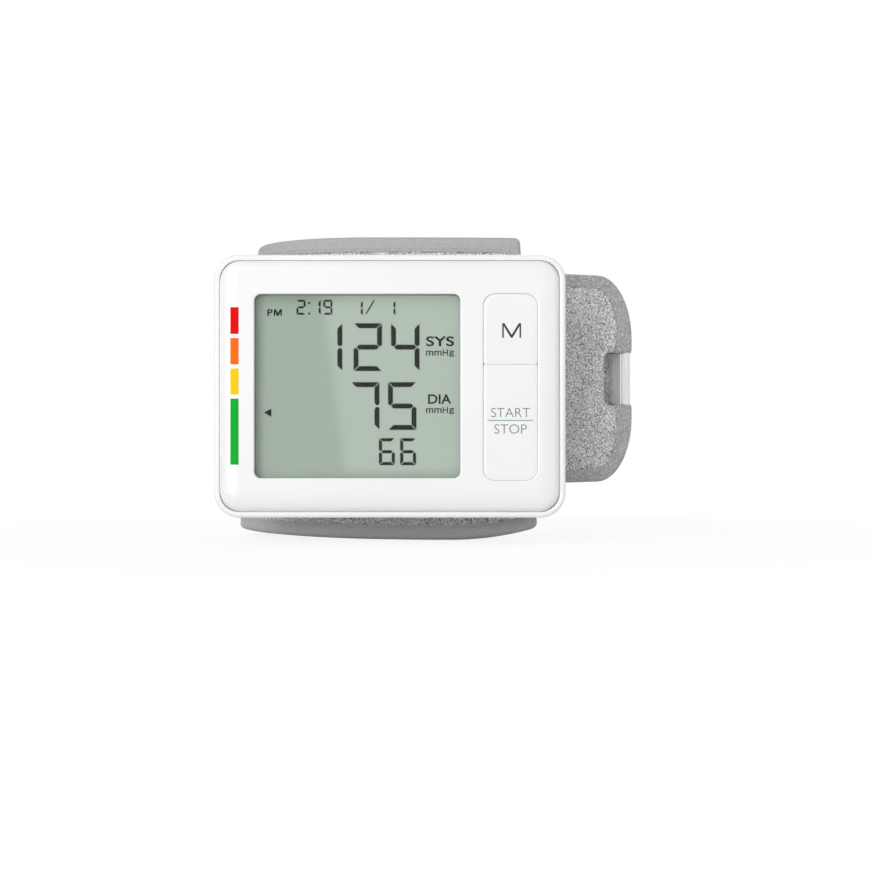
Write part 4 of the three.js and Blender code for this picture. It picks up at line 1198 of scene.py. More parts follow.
class MONITOR_OT_battery_door(bpy.types.Operator):
    """The battery door: the part of the shell over the cells, with grip ribs on its back"""

    bl_idname = "monitor.battery_door"
    bl_label = "Battery door"

    RIB_PLACES = (-31.0, -29.2, -27.4, -25.6, -23.8)
    RIB_SIZE = (1.0, 17.0, 0.35)
    # Width of the round on a rib, and how deep it is sunk in the shell
    RIB_ROUND = 0.4
    RIB_ROOT = 0.4

    def execute(self, context):
        width, tall, rise = self.RIB_SIZE
        rows = quarter(self.RIB_ROUND, rise, 4)[::-1] * (1, -1) + (0, CASE_DEPTH)
        rows = np.vstack([(0, CASE_DEPTH - self.RIB_ROOT), rows])
        ribs = [tube(block_rings(width, tall, width / 2, x, 0, rows, 6)) for x in self.RIB_PLACES]
        door = carved(case_outer(), [
            ("DIFFERENCE", [case_cavity(0)]), ("INTERSECT", [door_zone(0)]), ("UNION", ribs),
        ])
        piece = make_piece(
            "door_shell", door, polished_moulded_abs(), "battery_door_body", ["battery_door"],
            sharp=30.0,
        )
        even_normals(piece)
        return {"FINISHED"}


class MONITOR_OT_keys(bpy.types.Operator):
    """Two key caps with rounded front edges and a flange behind the slot, and the words printed on them"""

    bl_idname = "monitor.keys"
    bl_label = "Keys"

    # A flat inside the round that holds the face level, and the corners and most inset where the caps meet
    FLAT = 0.4
    MEET_CORNER = 0.5
    MEET_INSET = 0.04
    # Middle, base, width, height and stroke of the letter, and the words with their rectangles
    LETTER = (30.42, 12.05, 4.7, 3.65, 0.4)
    WORDS = {
        "start_word": ("START", (25.3, 35.0), (-7.75, -5.45)),
        "stop_word": ("STOP", (26.1, 34.2), (-11.85, -9.55)),
    }
    WORD_WEIGHT = -0.014
    # Width, height and corner of the line between the words, and its place
    LINE = (11.4, 0.26, 0.12)
    LINE_Z = -8.55

    def execute(self, context):
        width, tall, corner, x, middle = SLOT
        top = middle + tall / 2
        bottom = middle - tall / 2
        gap = millimetres("key_gap")
        edge = quarter(millimetres("key_round"), millimetres("key_fall"), 8) + (0, KEY_FRONT)
        rows = np.vstack([edge[0] + (self.FLAT, 0), edge, (0, FLANGE_FRONT)])
        # Which corners of a cap are at the slot's end, from the upper right, anticlockwise
        spans = {
            "memory": (KEY_SPLIT + gap / 4, top, (1, 1, 0, 0)),
            "start_stop": (bottom, KEY_SPLIT - gap / 4, (0, 0, 1, 1)),
        }
        for name, (low, high, outer) in spans.items():
            outer = np.array(outer)
            corners = outer * (corner - gap) + (1 - outer) * self.MEET_CORNER
            span = (low + gap * outer[2], high - gap * outer[0])
            rings = [self.ring(inset, y, width / 2 - gap, x, span, outer, corners) for inset, y in rows]
            shift = (outer[0] - outer[2]) * (FLANGE_REACH - gap)
            wide = width - 2 * gap + 2 * FLANGE_REACH
            flange = outline(wide, high - low + FLANGE_REACH - gap, corners, x, (high + low + shift) / 2)
            rings += [flat_ring(flange, y) for y in (FLANGE_FRONT, KEY_BACK)]
            make_piece(
                f"{name}_cap", tube(np.stack(rings)), satin_moulded_abs(), f"{name}_key_body",
                [f"{name}_key"],
            )
        self.marks(x)
        return {"FINISHED"}

    def ring(self, inset, y, half, x, span, outer, corners):
        """A cap's outline drawn in by the inset on its outer sides, and hardly where the two caps meet."""
        meet = min(inset, self.MEET_INSET)
        top = span[1] - np.where(outer[0], inset, meet)
        bottom = span[0] + np.where(outer[2], inset, meet)
        radius = np.maximum(corners - inset, LEAST_CORNER)
        return flat_ring(outline(2 * (half - inset), top - bottom, radius, x, (top + bottom) / 2), y)

    def marks(self, x):
        """The memory letter, the two words and the line between them."""
        film = millimetres("ink")
        sides = (KEY_FRONT - film, KEY_FRONT + film)
        memory = ink("pad_printed_dark_ink", paint("memory_ink"))
        words = ink("pad_printed_grey_ink", paint("start_ink"))
        teal = ink("pad_printed_teal_ink", paint("line_ink"))
        letter = slab(letter_m(*self.LETTER), *sides)
        make_piece("memory_letter", letter, memory, "memory_key_body")
        for name, group in self.WORDS.items():
            word = lettering(name, [group], KEY_FRONT, self.WORD_WEIGHT)
            make_piece(name, word, words, "start_stop_key_body")
        line = outline(*self.LINE, x, self.LINE_Z, 4)
        make_piece("key_line", prism(line, *sides), teal, "start_stop_key_body")


class MONITOR_OT_display(bpy.types.Operator):
    """The display: mitred digit segments, words and marks on the film, under the clear lens"""

    bl_idname = "monitor.display"
    bl_label = "Display"

    # Digits with their right and top edges, and the size and stroke of each group
    LARGE = (
        ("1", -11.97, 15.86), ("2", -2.0, 15.86), ("4", 7.42, 15.86), ("7", -2.64, 1.07), ("5", 6.65, 1.07),
    )
    LARGE_SIZE = (7.15, 12.0)
    SMALL = (("6", 1.22, -12.99), ("6", 6.55, -12.99))
    SMALL_SIZE = (4.0, 6.8)
    SMALL_STROKE = 0.8
    CLOCK = (
        ("2", -21.2, 21.74), ("1", -17.4, 21.74), ("9", -14.45, 21.74), ("1", -6.83, 21.5),
        ("1", 1.38, 21.5),
    )
    CLOCK_SIZE = (2.28, 3.75)
    CLOCK_STROKE = 0.51
    # Marks between the small digits
    DOTS = ((-20.3, 20.95), (-20.3, 18.3))
    DOT_SIDE = 0.5
    DOT_CORNER = 0.1
    SLASH = ((-6.2, 18.2), (-5.8, 18.2), (-3.75, 21.7), (-4.15, 21.7), (-6.2, 18.2))
    POINTER = ((-31.6, -6.58), (-29.8, -7.66), (-29.8, -5.55), (-31.6, -6.58))
    # Words with their rectangles
    DAY_HALF_M = (-28.15, 17.7, 2.0, 1.68, 0.36)
    WORDS = (
        ("day_half", "P", (-30.8, -29.45), (17.7, 19.38)),
        ("upper_word", "SYS", (9.06, 16.1), (10.08, 12.58)),
        ("lower_word", "DIA", (9.55, 15.4), (-4.38, -1.97)),
    )
    WORD_WEIGHT = 0.02
    # The letters of a unit, with their heights above the unit's lowest point, and that point for each unit
    UNIT = (
        ("mm", (9.06, 12.97), (0.31, 1.57)),
        ("H", (13.22, 14.55), (0.31, 1.88)),
        ("g", (14.82, 16.1), (0.0, 1.57)),
    )
    UNIT_WEIGHT = 0.012
    UNIT_BASES = (("upper_unit", 7.42), ("lower_unit", -7.0))

    def execute(self, context):
        groups = (
            (self.LARGE, self.LARGE_SIZE, millimetres("stroke")),
            (self.SMALL, self.SMALL_SIZE, self.SMALL_STROKE),
            (self.CLOCK, self.CLOCK_SIZE, self.CLOCK_STROKE),
        )
        loops = [
            loop for rows, size, stroke in groups for character, right, top in rows
            for loop in digit(character, right, top, *size, stroke)
        ]
        loops += [outline(self.DOT_SIDE, self.DOT_SIDE, self.DOT_CORNER, *place, 2) for place in self.DOTS]
        loops += [np.array(self.SLASH), np.array(self.POINTER)]
        sides = (LCD_FRONT - millimetres("ink"), LCD_FRONT)
        parts = [part for loop in loops for part in prism(loop, *sides)]
        parts += slab(letter_m(*self.DAY_HALF_M), *sides)
        dark = ink("driven_liquid_crystal", paint("segment"))
        make_piece("display_segments", parts, dark, "monitor")
        for name, *group in self.WORDS:
            word = lettering(name, [group], LCD_FRONT, self.WORD_WEIGHT)
            make_piece(name, word, dark, "monitor")
        for name, base in self.UNIT_BASES:
            letters = [(text, wide, (base + low, base + high)) for text, wide, (low, high) in self.UNIT]
            unit = lettering(name, letters, LCD_FRONT, self.UNIT_WEIGHT)
            make_piece(name, unit, dark, "monitor")
        return {"FINISHED"}


class MONITOR_OT_screws(bpy.types.Operator):
    """Four case screws: a turned pan head with a cross recess, and a plain shank"""

    bl_idname = "monitor.screws"
    bl_label = "Case screws"

    # Depth and radius from the shank's tip to the top of the head
    PROFILE = (
        (4.4, 0.0), (4.4, 0.8), (18.35, 0.8), (18.35, 1.7), (19.2, 1.7), (19.55, 1.5), (19.75, 1.0),
        (19.8, 0.0),
    )
    # Half the length and half the width of the recess, and its depths
    CROSS = (1.05, 0.2)
    CROSS_DEPTHS = (19.1, 20.5)

    def execute(self, context):
        for number, (x, z) in enumerate(SCREW_PLACES, 1):
            bars = (self.CROSS, self.CROSS[::-1])
            cross = [box(x - a, x + a, *self.CROSS_DEPTHS, z - b, z + b) for a, b in bars]
            screw = carved(turned(np.array(self.PROFILE), (x, z), sides=32), [("DIFFERENCE", cross)])
            make_piece(
                f"screw_{number}", screw, zinc_plated_steel(), "monitor", [f"case_screw_{number}"],
                sharp=30.0,
            )
        return {"FINISHED"}


class MONITOR_OT_cells(bpy.types.Operator):
    """Two dry cells: a turned can with a rolled shoulder and a positive nub, one up and one down"""

    bl_idname = "monitor.cells"
    bl_label = "Dry cells"

    # Distance in from the flat end and radius, and then the same from the end with the nub
    FLAT_END = ((0, 0), (0, 4.2), (0.15, 4.6), (0.5, 5.0), (0.7, CELL_RADIUS))
    NUB_END = (
        (1.9, CELL_RADIUS), (1.5, 5.05), (1.2, 4.6), (1.0, 4.0), (0.9, 1.95), (0.2, 1.9), (0, 1.6), (0, 0),
    )

    def execute(self, context):
        half = CELL_LENGTH / 2
        upward = np.vstack([
            np.array(self.FLAT_END) + (-half, 0),
            np.array(self.NUB_END) * (-1, 1) + (half, 0),
        ])
        profiles = (upward, upward[::-1] * (-1, 1))
        for number, (x, profile) in enumerate(zip(CELL_PLACES, profiles), 1):
            cell = turned(profile, (x, CELL_DEPTH), axis="z", sides=48)
            make_piece(
                f"dry_cell_{number}", cell, printed_cell_jacket(), "monitor",
                [f"battery_cell_{number}"], sharp=30.0,
            )
        return {"FINISHED"}


def cuff_relief(run, z, face):
    """Crown of the cuff's outer face, a parabola across it. Puckers beside both seams are a sine of the run
    that dies off with the distance from the seam, and the product of two slow sines rolls the rest."""
    half = CUFF_HALF - millimetres("hem")
    fade = 4.0
    share = np.clip(z / half, -1, 1)
    ripple = np.sin(run * 0.9 + 1.7 * np.sin(run * 0.13)) * np.exp(-((1 - np.abs(share)) * half) / fade)
    slow = 0.5 * np.sin(run * 0.21 + z * 0.06) * np.sin(z * 0.11 + 0.7)
    lift = millimetres("crown") * (1 - share ** 2) - millimetres("pucker") * (ripple + slow)
    return -lift * (face < 0)


def lining_relief(run, z, face):
    """Soft creases across the lining where the bend presses it together, a sine of the run, on a low crown,
    a parabola across it."""
    crown = 0.6
    crease = 0.22
    share = np.clip(z / (CUFF_HALF - millimetres("hem")), -1, 1)
    wave = np.sin(run * 0.63 + 0.9 * np.sin(run * 0.17) + 0.35 * np.sin(z * 0.09))
    return (crown * (1 - share ** 2) + crease * wave * (1 - share ** 4)) * (face > 0)


class MONITOR_OT_cuff(bpy.types.Operator):
    """The cuff: a crowned loop-cloth cover, a stay, a bladder, a creased lining, and a stitched binding"""

    bl_idname = "monitor.cuff"
    bl_label = "Cuff"

    # How far the binding laps over the tab's root, the radius of its corners, and its thickness
    ROOT_LAP = 1.9
    CORNER = 1.6
    TAPE = 0.6
    # How far the binding stands out past the cuff's edges and past its seam
    EDGE_PROUD = 0.3
    SEAM_PROUD = 0.15
    # Depths of the layers
    COVER_DEPTH = (0.0, 2.0)
    STAY_DEPTH = (2.3, 3.5)
    BLADDER_DEPTH = (3.8, 6.0)
    BINDING_DEPTH = (-0.6, 8.1)
    # The stay and the bladder
    STAY_MARGIN = 4.0
    STAY_HALF = 35.2
    STAY_CORNER = 4.0
    # The stitches' distance from the binding's lip, and their depth
    STITCH_INSET = 0.75
    STITCH_DEPTH = -0.58

    def execute(self, context):
        path = cuff_path()
        total = path[0][-1]
        hem = millimetres("hem")
        under = hem - self.TAPE
        runs = (under - self.ROOT_LAP, total - under)
        heights = (-CUFF_HALF + under, CUFF_HALF - under)
        outside = strip(
            path, runs, heights, self.COVER_DEPTH, corner=0.6, edge=0.4, relief=cuff_relief, count=260,
        )
        cover = make_piece(
            "cuff_cover", outside, heather_loop_cloth(), "monitor", ["cuff_fabric"],
        )
        inside = strip(
            path, runs, heights, LINING_DEPTH, corner=0.6, edge=0.5, relief=lining_relief, count=260,
        )
        lining = make_piece(
            "cuff_lining_pad", inside, brushed_lining_knit(), "monitor", ["cuff_lining"],
        )
        inner = (self.STAY_MARGIN, total - self.STAY_MARGIN)
        span = (-self.STAY_HALF, self.STAY_HALF)
        stay = strip(path, inner, span, self.STAY_DEPTH, self.STAY_CORNER, edge=0.3, count=220)
        make_piece("stay_band", stay, calendered_stay_sheet(), "monitor", ["cuff_stay"])
        pouch = strip(path, inner, span, self.BLADDER_DEPTH, self.STAY_CORNER, edge=0.8, count=220)
        bladder = make_piece(
            "bladder_pad", pouch, welded_bladder_film(), "monitor", ["air_bladder"],
        )
        depths = self.BINDING_DEPTH
        low = (-self.ROOT_LAP, -CUFF_HALF - self.EDGE_PROUD)
        high = (total + self.SEAM_PROUD, CUFF_HALF + self.EDGE_PROUD)
        folded = binding(path, low, high, self.CORNER, hem, depths, self.TAPE)
        tape = make_piece("cuff_binding", [folded], woven_binding_tape(), "monitor")
        row = stitches(path, hoop(low, high, self.CORNER, hem - self.STITCH_INSET), self.STITCH_DEPTH)
        make_piece("cuff_stitches", [row], spun_polyester_thread(), "monitor")
        return {"FINISHED"}


def tab_outline():
    """The tab from the front, anticlockwise: straight upper and lower edges, two elliptical corners, and a
    notch with rounded corners in its fold."""
    low, high = TAB_RISE - TAB_HALF, TAB_RISE + TAB_HALF
    straight = TAB_REACH - TAB_CORNER[0]
    side = TAB_HALF - TAB_CORNER[1]
    mouth, root, start = 0.5, 1.5, 1.7
    notch_low, notch_high = TAB_RISE - NOTCH_HALF, TAB_RISE + NOTCH_HALF
    line = np.vstack([
        arc((TAB_ROOT + start, low + start), start, 180, 270, 8),
        arc((straight, TAB_RISE - side), TAB_CORNER, -90, 0, 28),
        arc((TAB_REACH - mouth, notch_low - mouth), mouth, 0, 90, 8),
        arc((NOTCH_ROOT + root, notch_low + root), root, -90, -180, 8),
        arc((NOTCH_ROOT + root, notch_high - root), root, 180, 90, 8),
        arc((TAB_REACH - mouth, notch_high + mouth), mouth, -90, 0, 8),
        arc((straight, TAB_RISE + side), TAB_CORNER, 0, 90, 28),
        arc((TAB_ROOT + start, high - start), start, 90, 180, 8),
    ])
    return densified(tapered(np.vstack([line, line[:1]])), 1.0)


def tapered(line):
    """The tab's outline drawn in towards its middle height by a small share that grows from root to fold."""
    share = np.clip((line[:, 0] - TAB_ROOT) / (TAB_REACH - TAB_CORNER[0] - TAB_ROOT), 0, 1)
    z = TAB_RISE + (line[:, 1] - TAB_RISE) * (1 - TAB_TAPER * share)
    return np.column_stack([line[:, 0], z])


def tab_hem_track(top):
    """The tab's edge that carries a hem: the straight edge, the elliptical corner and the fold to the notch,
    where it stands a little proud."""
    from_root, proud, past_mouth = 0.4, 0.35, 0.05
    straight = TAB_REACH - TAB_CORNER[0]
    side = TAB_HALF - TAB_CORNER[1]
    curve = arc((straight, side), TAB_CORNER, 90, 0, 28)
    line = np.vstack([(TAB_ROOT + from_root, TAB_HALF), curve, (TAB_REACH, NOTCH_HALF - past_mouth)])
    line[:, 0] += proud * np.clip((line[:, 0] - straight) / TAB_CORNER[0], 0, 1)
    line[:, 1] = TAB_RISE + line[:, 1] * (1 if top else -1)
    return densified(tapered(line), 0.35)


def tab_crown(z):
    """Rise of the tab's front face as a share of its most, a parabola from edge to edge."""
    return 1 - np.clip((z - TAB_RISE) / TAB_HALF, -1, 1) ** 2


class MONITOR_OT_end_tab(bpy.types.Operator):
    """The folded end tab: a notched pad of loop cloth on its bend, two hems, and a white bar in its fold"""

    bl_idname = "monitor.end_tab"
    bl_label = "End tab"

    # How far the pad lies inside the tab's outline and faces, the radius of its edges, and its crown
    PAD_INSET = 0.25
    PAD_MARGIN = 0.2
    PAD_ROUND = 1.4
    PAD_CROWN = 0.3
    # Width of a hem at the tab's root, how much it grows to the fold, and its crown
    HEM_WIDTH = 3.2
    HEM_GROWTH = 1.6
    HEM_CROWN = 0.25
    # How far a hem's outer and inner faces lie from the tab's own, and its thickness on the edge
    HEM_OVER = 0.12
    HEM_UNDER = 0.35
    HEM_THICK = 0.5
    # Depth of the bar's groove, its angle in degrees and its half width in radians
    GROOVE = (0.28, 238, 0.16)
    # Where the bar grows from slim to full beside the notch, and over what distance
    BAR_PAST = 2.5
    BAR_GROWTH = 2.0
    # How far the bar moves to the right and forward in the notch, and how much flatter it is each way
    BAR_MOVE = (1.25, 1.0)
    BAR_FLATTER = (0.23, 0.4)

    def execute(self, context):
        path = tab_path()
        loop = tab_outline()
        edge = quarter(self.PAD_ROUND, self.PAD_ROUND, 6)
        back = edge[::-1] * (1, -1) + (0, TAB_THICKNESS - 2 * self.PAD_MARGIN)
        rows = np.vstack([edge, back]) + (self.PAD_INSET, self.PAD_MARGIN)
        flat = loop[None] + inward(loop)[None] * rows[:, None, :1]
        parts = [skin(self.crowned(path, flat, np.broadcast_to(rows[:, 1:], flat.shape[:2])))]
        for row in (0, -1):
            places, faces = net([flat[row]], 1.3)
            points = self.crowned(path, places, np.full(len(places), rows[row, 1]))
            parts.append((points, faces, places))
        tab = make_piece(
            "tab_pad", parts, heather_loop_cloth(), "monitor", ["end_tab"], sharp=60.0,
        )
        for name, top in (("upper", True), ("lower", False)):
            track = tab_hem_track(top)
            tape = self.hem(path, track, top)
            hem = make_piece(f"tab_hem_{name}", tape, pressed_loop_cloth(), "monitor")
        self.bar()
        return {"FINISHED"}

    def crowned(self, path, flat, depth):
        """Flat places on the tab's bend, with a crown and fine puckers that die off behind the front."""
        x, z = flat[..., 0], flat[..., 1]
        swell = self.PAD_CROWN * tab_crown(z) - 0.06 * np.sin(x * 0.8) * np.sin(z * 0.5)
        level = depth - swell * np.clip(1 - depth / (TAB_THICKNESS / 2), 0, 1)
        return wrapped(path, tab_run(x), level, z)

    def hem(self, path, track, top):
        """A tape folded over the edge: a C-shaped section, wider at the fold, carried along the track. At
        the notch its depth closes by a quarter circle over the pad's rounded edge."""
        steps, _, way = bend(track, 1.0 if top else -1.0)
        width = self.HEM_WIDTH + self.HEM_GROWTH * (steps / steps[-1]) ** 2
        outer = fold(1.0, (-1.0, 1.0))
        inner = outer[::-1]
        count = len(outer)
        half = TAB_THICKNESS / 2
        near = np.clip(1 - (steps[-1] - steps) / self.PAD_ROUND, 0, 1)
        closing = 1 - self.PAD_ROUND / half * (1 - np.sqrt(1 - near ** 2))
        thin = np.concatenate([np.zeros(count), np.full(count, self.HEM_THICK), [0.0]])
        over, under = half + self.HEM_OVER, half - self.HEM_UNDER
        reach = np.concatenate([np.full(count, over), np.full(count, under), [over]])
        section = np.vstack([outer, inner, outer[:1]])
        inset = section[:, 0] * (width[:, None] - thin) + thin * (section[:, 0] < 0.99)
        flat = track[:, None] + way[:, None] * inset[..., None]
        depth = closing[:, None] * (section[:, 1] * reach)
        level = half + depth - self.HEM_CROWN * tab_crown(flat[..., 1]) * np.clip(-depth / half, 0, 1)
        grid = wrapped(path, tab_run(flat[..., 0]), level, flat[..., 1])
        ends = [skin(np.stack([ring[:count], ring[count:2 * count][::-1]])) for ring in (grid[0], grid[-1])]
        return [skin(grid), *ends]

    def bar(self):
        """The white bar: a rod with slim ends, pulled out to the fold and made oval where the notch shows
        it, with a shallow groove down its front that is a bell-shaped dip in its radius."""
        angle = np.linspace(0, 2 * math.pi, 73)
        dip, facing, spread = self.GROOVE
        groove = dip * np.exp(-((angle - math.radians(facing)) / spread) ** 2)
        z = np.linspace(-BAR_HALF, BAR_HALF, 81)[:, None]
        shown = np.clip((NOTCH_HALF + self.BAR_PAST - np.abs(z)) / self.BAR_GROWTH, 0, 1)
        radius = (BAR_RADIUS - groove) * (0.5 + 0.5 * shown)
        move_x, move_y = np.multiply.outer(self.BAR_MOVE, shown)
        across, along = 1 - np.multiply.outer(self.BAR_FLATTER, shown)
        x = BAR_PLACE[0] + move_x + across * radius * np.cos(angle)
        y = BAR_PLACE[1] - move_y + along * radius * np.sin(angle)
        grid = np.stack(np.broadcast_arrays(x, y, TAB_RISE + z), axis=-1)
        make_piece("fold_bar", tube(grid), polished_moulded_abs(), "monitor", ["tab_bar"])


class MONITOR_OT_strap(bpy.types.Operator):
    """The closing strap: a leaf of loop cloth with a stitched binding, and a hook tape sewn on its front"""

    bl_idname = "monitor.strap"
    bl_label = "Closing strap"

    # The binding's thickness, width and corner radius, and how far the leaf lies inside it
    TAPE = 0.15
    HEM = 3.4
    CORNER = 5.0
    MARGIN = 0.3
    LEAF_EDGE = 0.9
    # The stitches' distance from the strap's edge, and how deep they are sunk
    STITCH_INSET = 2.7
    STITCH_SINK = 0.03
    # The hook tape's distances from the strap's end, its depths, corner and edge radius
    PATCH_ENDS = (15.9, 5.3)
    PATCH_DEPTH = (1.0, 2.15)
    PATCH_CORNER = 1.5
    PATCH_EDGE = 0.25
    # A hook's lean, depth and half width from root to tip, and the pitch and margins of the rows
    STEM = ((0.0, 2.0, 0.2), (0.0, 2.4, 0.16), (0.12, 2.62, 0.14), (0.34, 2.68, 0.1), (0.5, 2.55, 0.0))
    HOOK_PITCH = 1.05
    HOOK_MARGINS = (1.2, 0.8)

    def execute(self, context):
        path = strap_path()
        total = path[0][-1]
        half = STRAP_THICKNESS / 2
        inner = half - self.TAPE
        low = (0.0, TAB_RISE - STRAP_HALF)
        high = (total, TAB_RISE + STRAP_HALF)
        runs = (self.MARGIN, total - self.MARGIN)
        heights = (low[1] + self.MARGIN, high[1] - self.MARGIN)
        leaf = strip(
            path, runs, heights, (-inner, inner), self.CORNER - self.MARGIN, self.LEAF_EDGE, count=120,
        )
        strap = make_piece(
            "strap_leaf", leaf, heather_loop_cloth(), "strap_body", ["closing_strap"],
        )
        folded = binding(path, low, high, self.CORNER, self.HEM, (-half, half), self.TAPE)
        # The strap's binding has painted light: its tape colour is paler than the cuff's binding, to offset
        # the shade in the tab's notch
        tape = make_piece("strap_binding", [folded], strap_tape_painted_lighter(), "strap_body")
        track = hoop(low, high, self.CORNER, self.STITCH_INSET)
        rows = [stitches(path, track, side * (half - self.STITCH_SINK)) for side in (-1, 1)]
        thread = make_piece("strap_stitches", rows, spun_polyester_thread(), "strap_body")
        self.hooks(path, total)
        return {"FINISHED"}

    def hooks(self, path, total):
        """A tape with rows of small bent hooks: each a four-sided stem that leans over to its tip."""
        start, end = (total - distance for distance in self.PATCH_ENDS)
        low, high = TAB_RISE - PATCH_HALF, TAB_RISE + PATCH_HALF
        base = strip(
            path, (start, end), (low, high), self.PATCH_DEPTH, self.PATCH_CORNER, self.PATCH_EDGE, count=12,
        )
        first, last = self.HOOK_MARGINS
        axes = [np.arange(a + first, b - last, self.HOOK_PITCH) for a, b in ((start, end), (low, high))]
        run, z = (axis.ravel()[:, None, None] for axis in np.meshgrid(*axes))
        lean = np.where(np.arange(run.size) % 2 == 0, 1.0, -1.0)[:, None, None]
        stem = np.array(self.STEM)
        turn = np.linspace(0, 2 * math.pi, 5)
        runs = run + lean * (stem[:, :1] + stem[:, 2:] * np.cos(turn))
        heights = z + np.broadcast_to(stem[:, 2:] * np.sin(turn), runs.shape)
        rows = copies(wrapped(path, runs, np.broadcast_to(stem[:, 1:2], runs.shape), heights))
        tape = make_piece("hook_tape", base, moulded_hook_tape(), "strap_body", ["hook_patch"])
        pile = make_piece("hook_rows", [rows], moulded_hook_tape(), "strap_body")


class MONITOR_OT_frame_finishes(bpy.types.Operator):
    """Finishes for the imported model's own pieces that stay in view"""

    bl_idname = "monitor.frame_finishes"
    bl_label = "Finishes of the frame's pieces"

    NODES = {
        clear_cast_acrylic: ("display_lens",),
        reflective_lcd_film: ("lcd_glass",),
        black_moulded_nylon: (
            "lcd_frame", "memory_switch", "start_stop_switch", "pump_head", "air_manifold",
            "pressure_sensor", "buzzer", "cuff_bracket",
        ),
        milky_silicone: ("lcd_connector", "pump_hose", "valve_hose"),
        glass_fibre_board: ("circuit_board",),
        zinc_plated_steel: (
            "upper_battery_contact", "lower_battery_contact", "pump_motor", "pump_crank", "air_valve",
            "valve_plunger", "radio_module",
        ),
    }

    def execute(self, context):
        for material, names in self.NODES.items():
            for name in names:
                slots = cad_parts[name].data.materials
                slots.clear()
                slots.append(material())
        return {"FINISHED"}


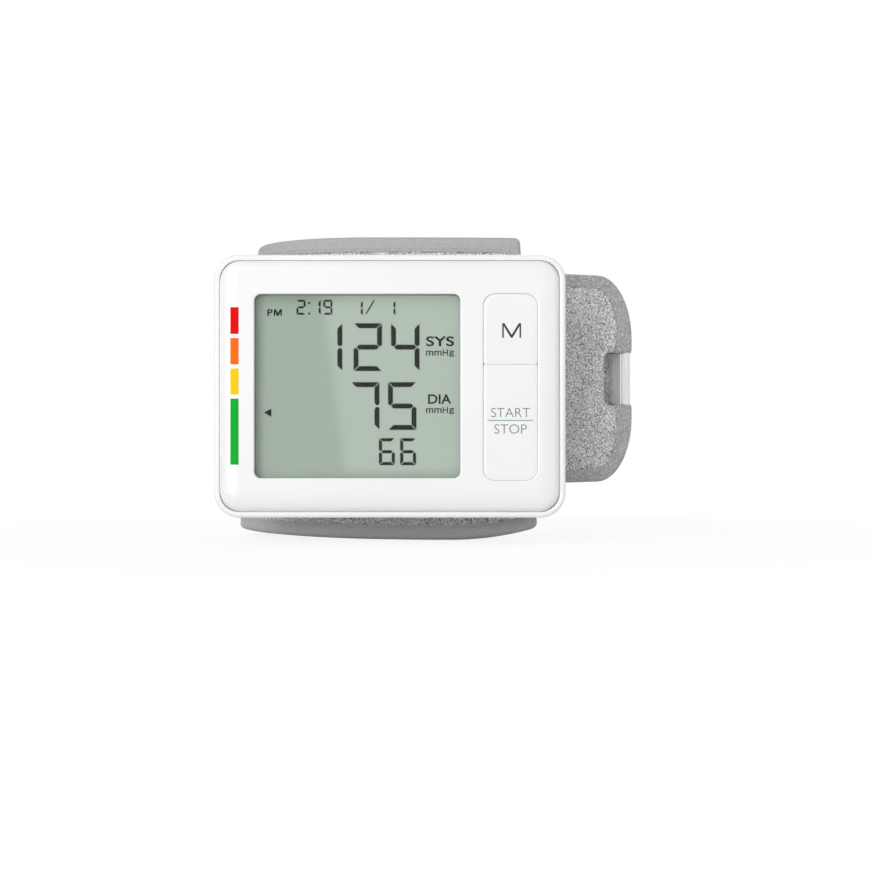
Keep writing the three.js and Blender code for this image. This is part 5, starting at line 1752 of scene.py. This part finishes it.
class MONITOR_OT_stage(bpy.types.Operator):
    """A pale floor, soft lamps, a white surround and the camera in front of the panel"""

    bl_idname = "monitor.stage"
    bl_label = "Stage"

    # Half the floor's side, and its height just under the part, in metres
    FLOOR_HALF = 4.0
    FLOOR_Z = -0.0004
    # Place, aim, width, height, watts
    LAMPS = {
        "key_lamp": ((-0.6, -1.1, 0.8), (0.0, 0.0, 0.04), 0.9, 0.7, 4.85),
        "side_lamp": ((-0.55, -1.15, 0.1), (0.0, 0.0, 0.03), 0.6, 0.6, 2.6),
        "low_lamp": ((-0.5, -1.1, 0.04), (0.0, 0.0, 0.03), 0.4, 0.3, 4.2),
        "fill_lamp": ((0.9, -0.9, 0.35), (0.0, 0.0, 0.04), 0.6, 0.8, 1.4),
        "rear_lamp": ((0.3, 1.3, 0.8), (0.0, 0.0, 0.04), 0.9, 0.7, 5.0),
    }
    # A lamp that is seen in the lens, turned about its own axis in degrees
    GLARE_PLACE = (0.032, -1.042, 0.064)
    GLARE_TURN = -7.3
    GLARE_SIZE = (0.21, 0.32)
    GLARE_WATTS = 0.2
    CAMERA_PLACE = (0.00145, -0.5444, 0.0273)
    CAMERA_LENS = 83.0
    CAMERA_SENSOR = 36.0
    CAMERA_NEAR = 0.01
    SURROUND = 0.46

    def execute(self, context):
        scene = context.scene
        scene.view_settings.view_transform = "Standard"
        floor_mesh = bpy.data.meshes.new("floor")
        sides = ((-1, -1), (1, -1), (1, 1), (-1, 1))
        corners = [(x * self.FLOOR_HALF, y * self.FLOOR_HALF, self.FLOOR_Z) for x, y in sides]
        floor_mesh.from_pydata(corners, [], [(0, 1, 2, 3)])
        floor_mesh.materials.append(paper_floor())
        floor = bpy.data.objects.new("floor", floor_mesh)
        scene.collection.objects.link(floor)
        for name, (place, aim, width, tall, watts) in self.LAMPS.items():
            way = Vector(aim) - Vector(place)
            self.lamp(scene, name, place, way.to_track_quat("-Z", "Y"), width, tall, watts)
        lean = Euler((math.pi / 2, math.radians(self.GLARE_TURN), 0)).to_quaternion()
        self.lamp(scene, "glare_lamp", self.GLARE_PLACE, lean, *self.GLARE_SIZE, self.GLARE_WATTS)
        camera = bpy.data.objects.new("camera", bpy.data.cameras.new("camera"))
        camera.location = self.CAMERA_PLACE
        camera.rotation_euler = (math.pi / 2, 0, 0)
        camera.data.sensor_width = self.CAMERA_SENSOR
        camera.data.lens = self.CAMERA_LENS
        camera.data.clip_start = self.CAMERA_NEAR
        scene.collection.objects.link(camera)
        scene.camera = camera
        self.surround(scene)
        return {"FINISHED"}

    @staticmethod
    def lamp(scene, name, place, turn, width, tall, watts):
        """A soft rectangular lamp."""
        data = bpy.data.lights.new(name, "AREA")
        data.shape = "RECTANGLE"
        data.size = width
        data.size_y = tall
        data.energy = watts
        made = bpy.data.objects.new(name, data)
        made.location = place
        made.rotation_mode = "QUATERNION"
        made.rotation_quaternion = turn
        scene.collection.objects.link(made)

    def surround(self, scene):
        """A white world to the eye and in reflections, and a softer one as a source of light."""
        world = bpy.data.worlds.new("white_surround")
        world.use_nodes = True
        tree = world.node_tree
        tree.nodes.clear()
        lit, seen = (
            add(tree, "ShaderNodeBackground", {"Color": WHITE, "Strength": strength}).outputs["Background"]
            for strength in (self.SURROUND, 1.0)
        )
        add(tree, "ShaderNodeOutputWorld", {"Surface": mix_shaders(tree, eye_rays(tree), lit, seen)})
        scene.world = world


OPERATORS = (
    MONITOR_OT_stage, MONITOR_OT_front_panel, MONITOR_OT_level_bars, MONITOR_OT_rear_case,
    MONITOR_OT_battery_door, MONITOR_OT_keys, MONITOR_OT_display, MONITOR_OT_screws, MONITOR_OT_cells,
    MONITOR_OT_cuff, MONITOR_OT_end_tab, MONITOR_OT_strap, MONITOR_OT_frame_finishes,
)


class MONITOR_PT_pieces(bpy.types.Panel):
    """Lists the sizes, the colours and the pieces"""

    bl_idname = "MONITOR_PT_pieces"
    bl_label = "Wrist monitor"
    bl_space_type = "VIEW_3D"
    bl_region_type = "UI"
    bl_category = "Wrist monitor"

    def draw(self, context):
        for group in (context.scene.monitor_sizes, context.scene.monitor_colours):
            for name in group.__annotations__:
                self.layout.prop(group, name)
        for operator in OPERATORS:
            self.layout.operator(operator.bl_idname)


CLASSES = (MonitorSizes, MonitorColours, *OPERATORS, MONITOR_PT_pieces)


def register():
    for made in CLASSES:
        bpy.utils.register_class(made)
    bpy.types.Scene.monitor_sizes = PointerProperty(type=MonitorSizes)
    bpy.types.Scene.monitor_colours = PointerProperty(type=MonitorColours)


def unregister():
    del bpy.types.Scene.monitor_colours
    del bpy.types.Scene.monitor_sizes
    for made in reversed(CLASSES):
        bpy.utils.unregister_class(made)


def main():
    register()
    for operator in OPERATORS:
        group, name = operator.bl_idname.split(".")
        getattr(getattr(bpy.ops, group), name)()


if __name__ == "__main__":
    main()
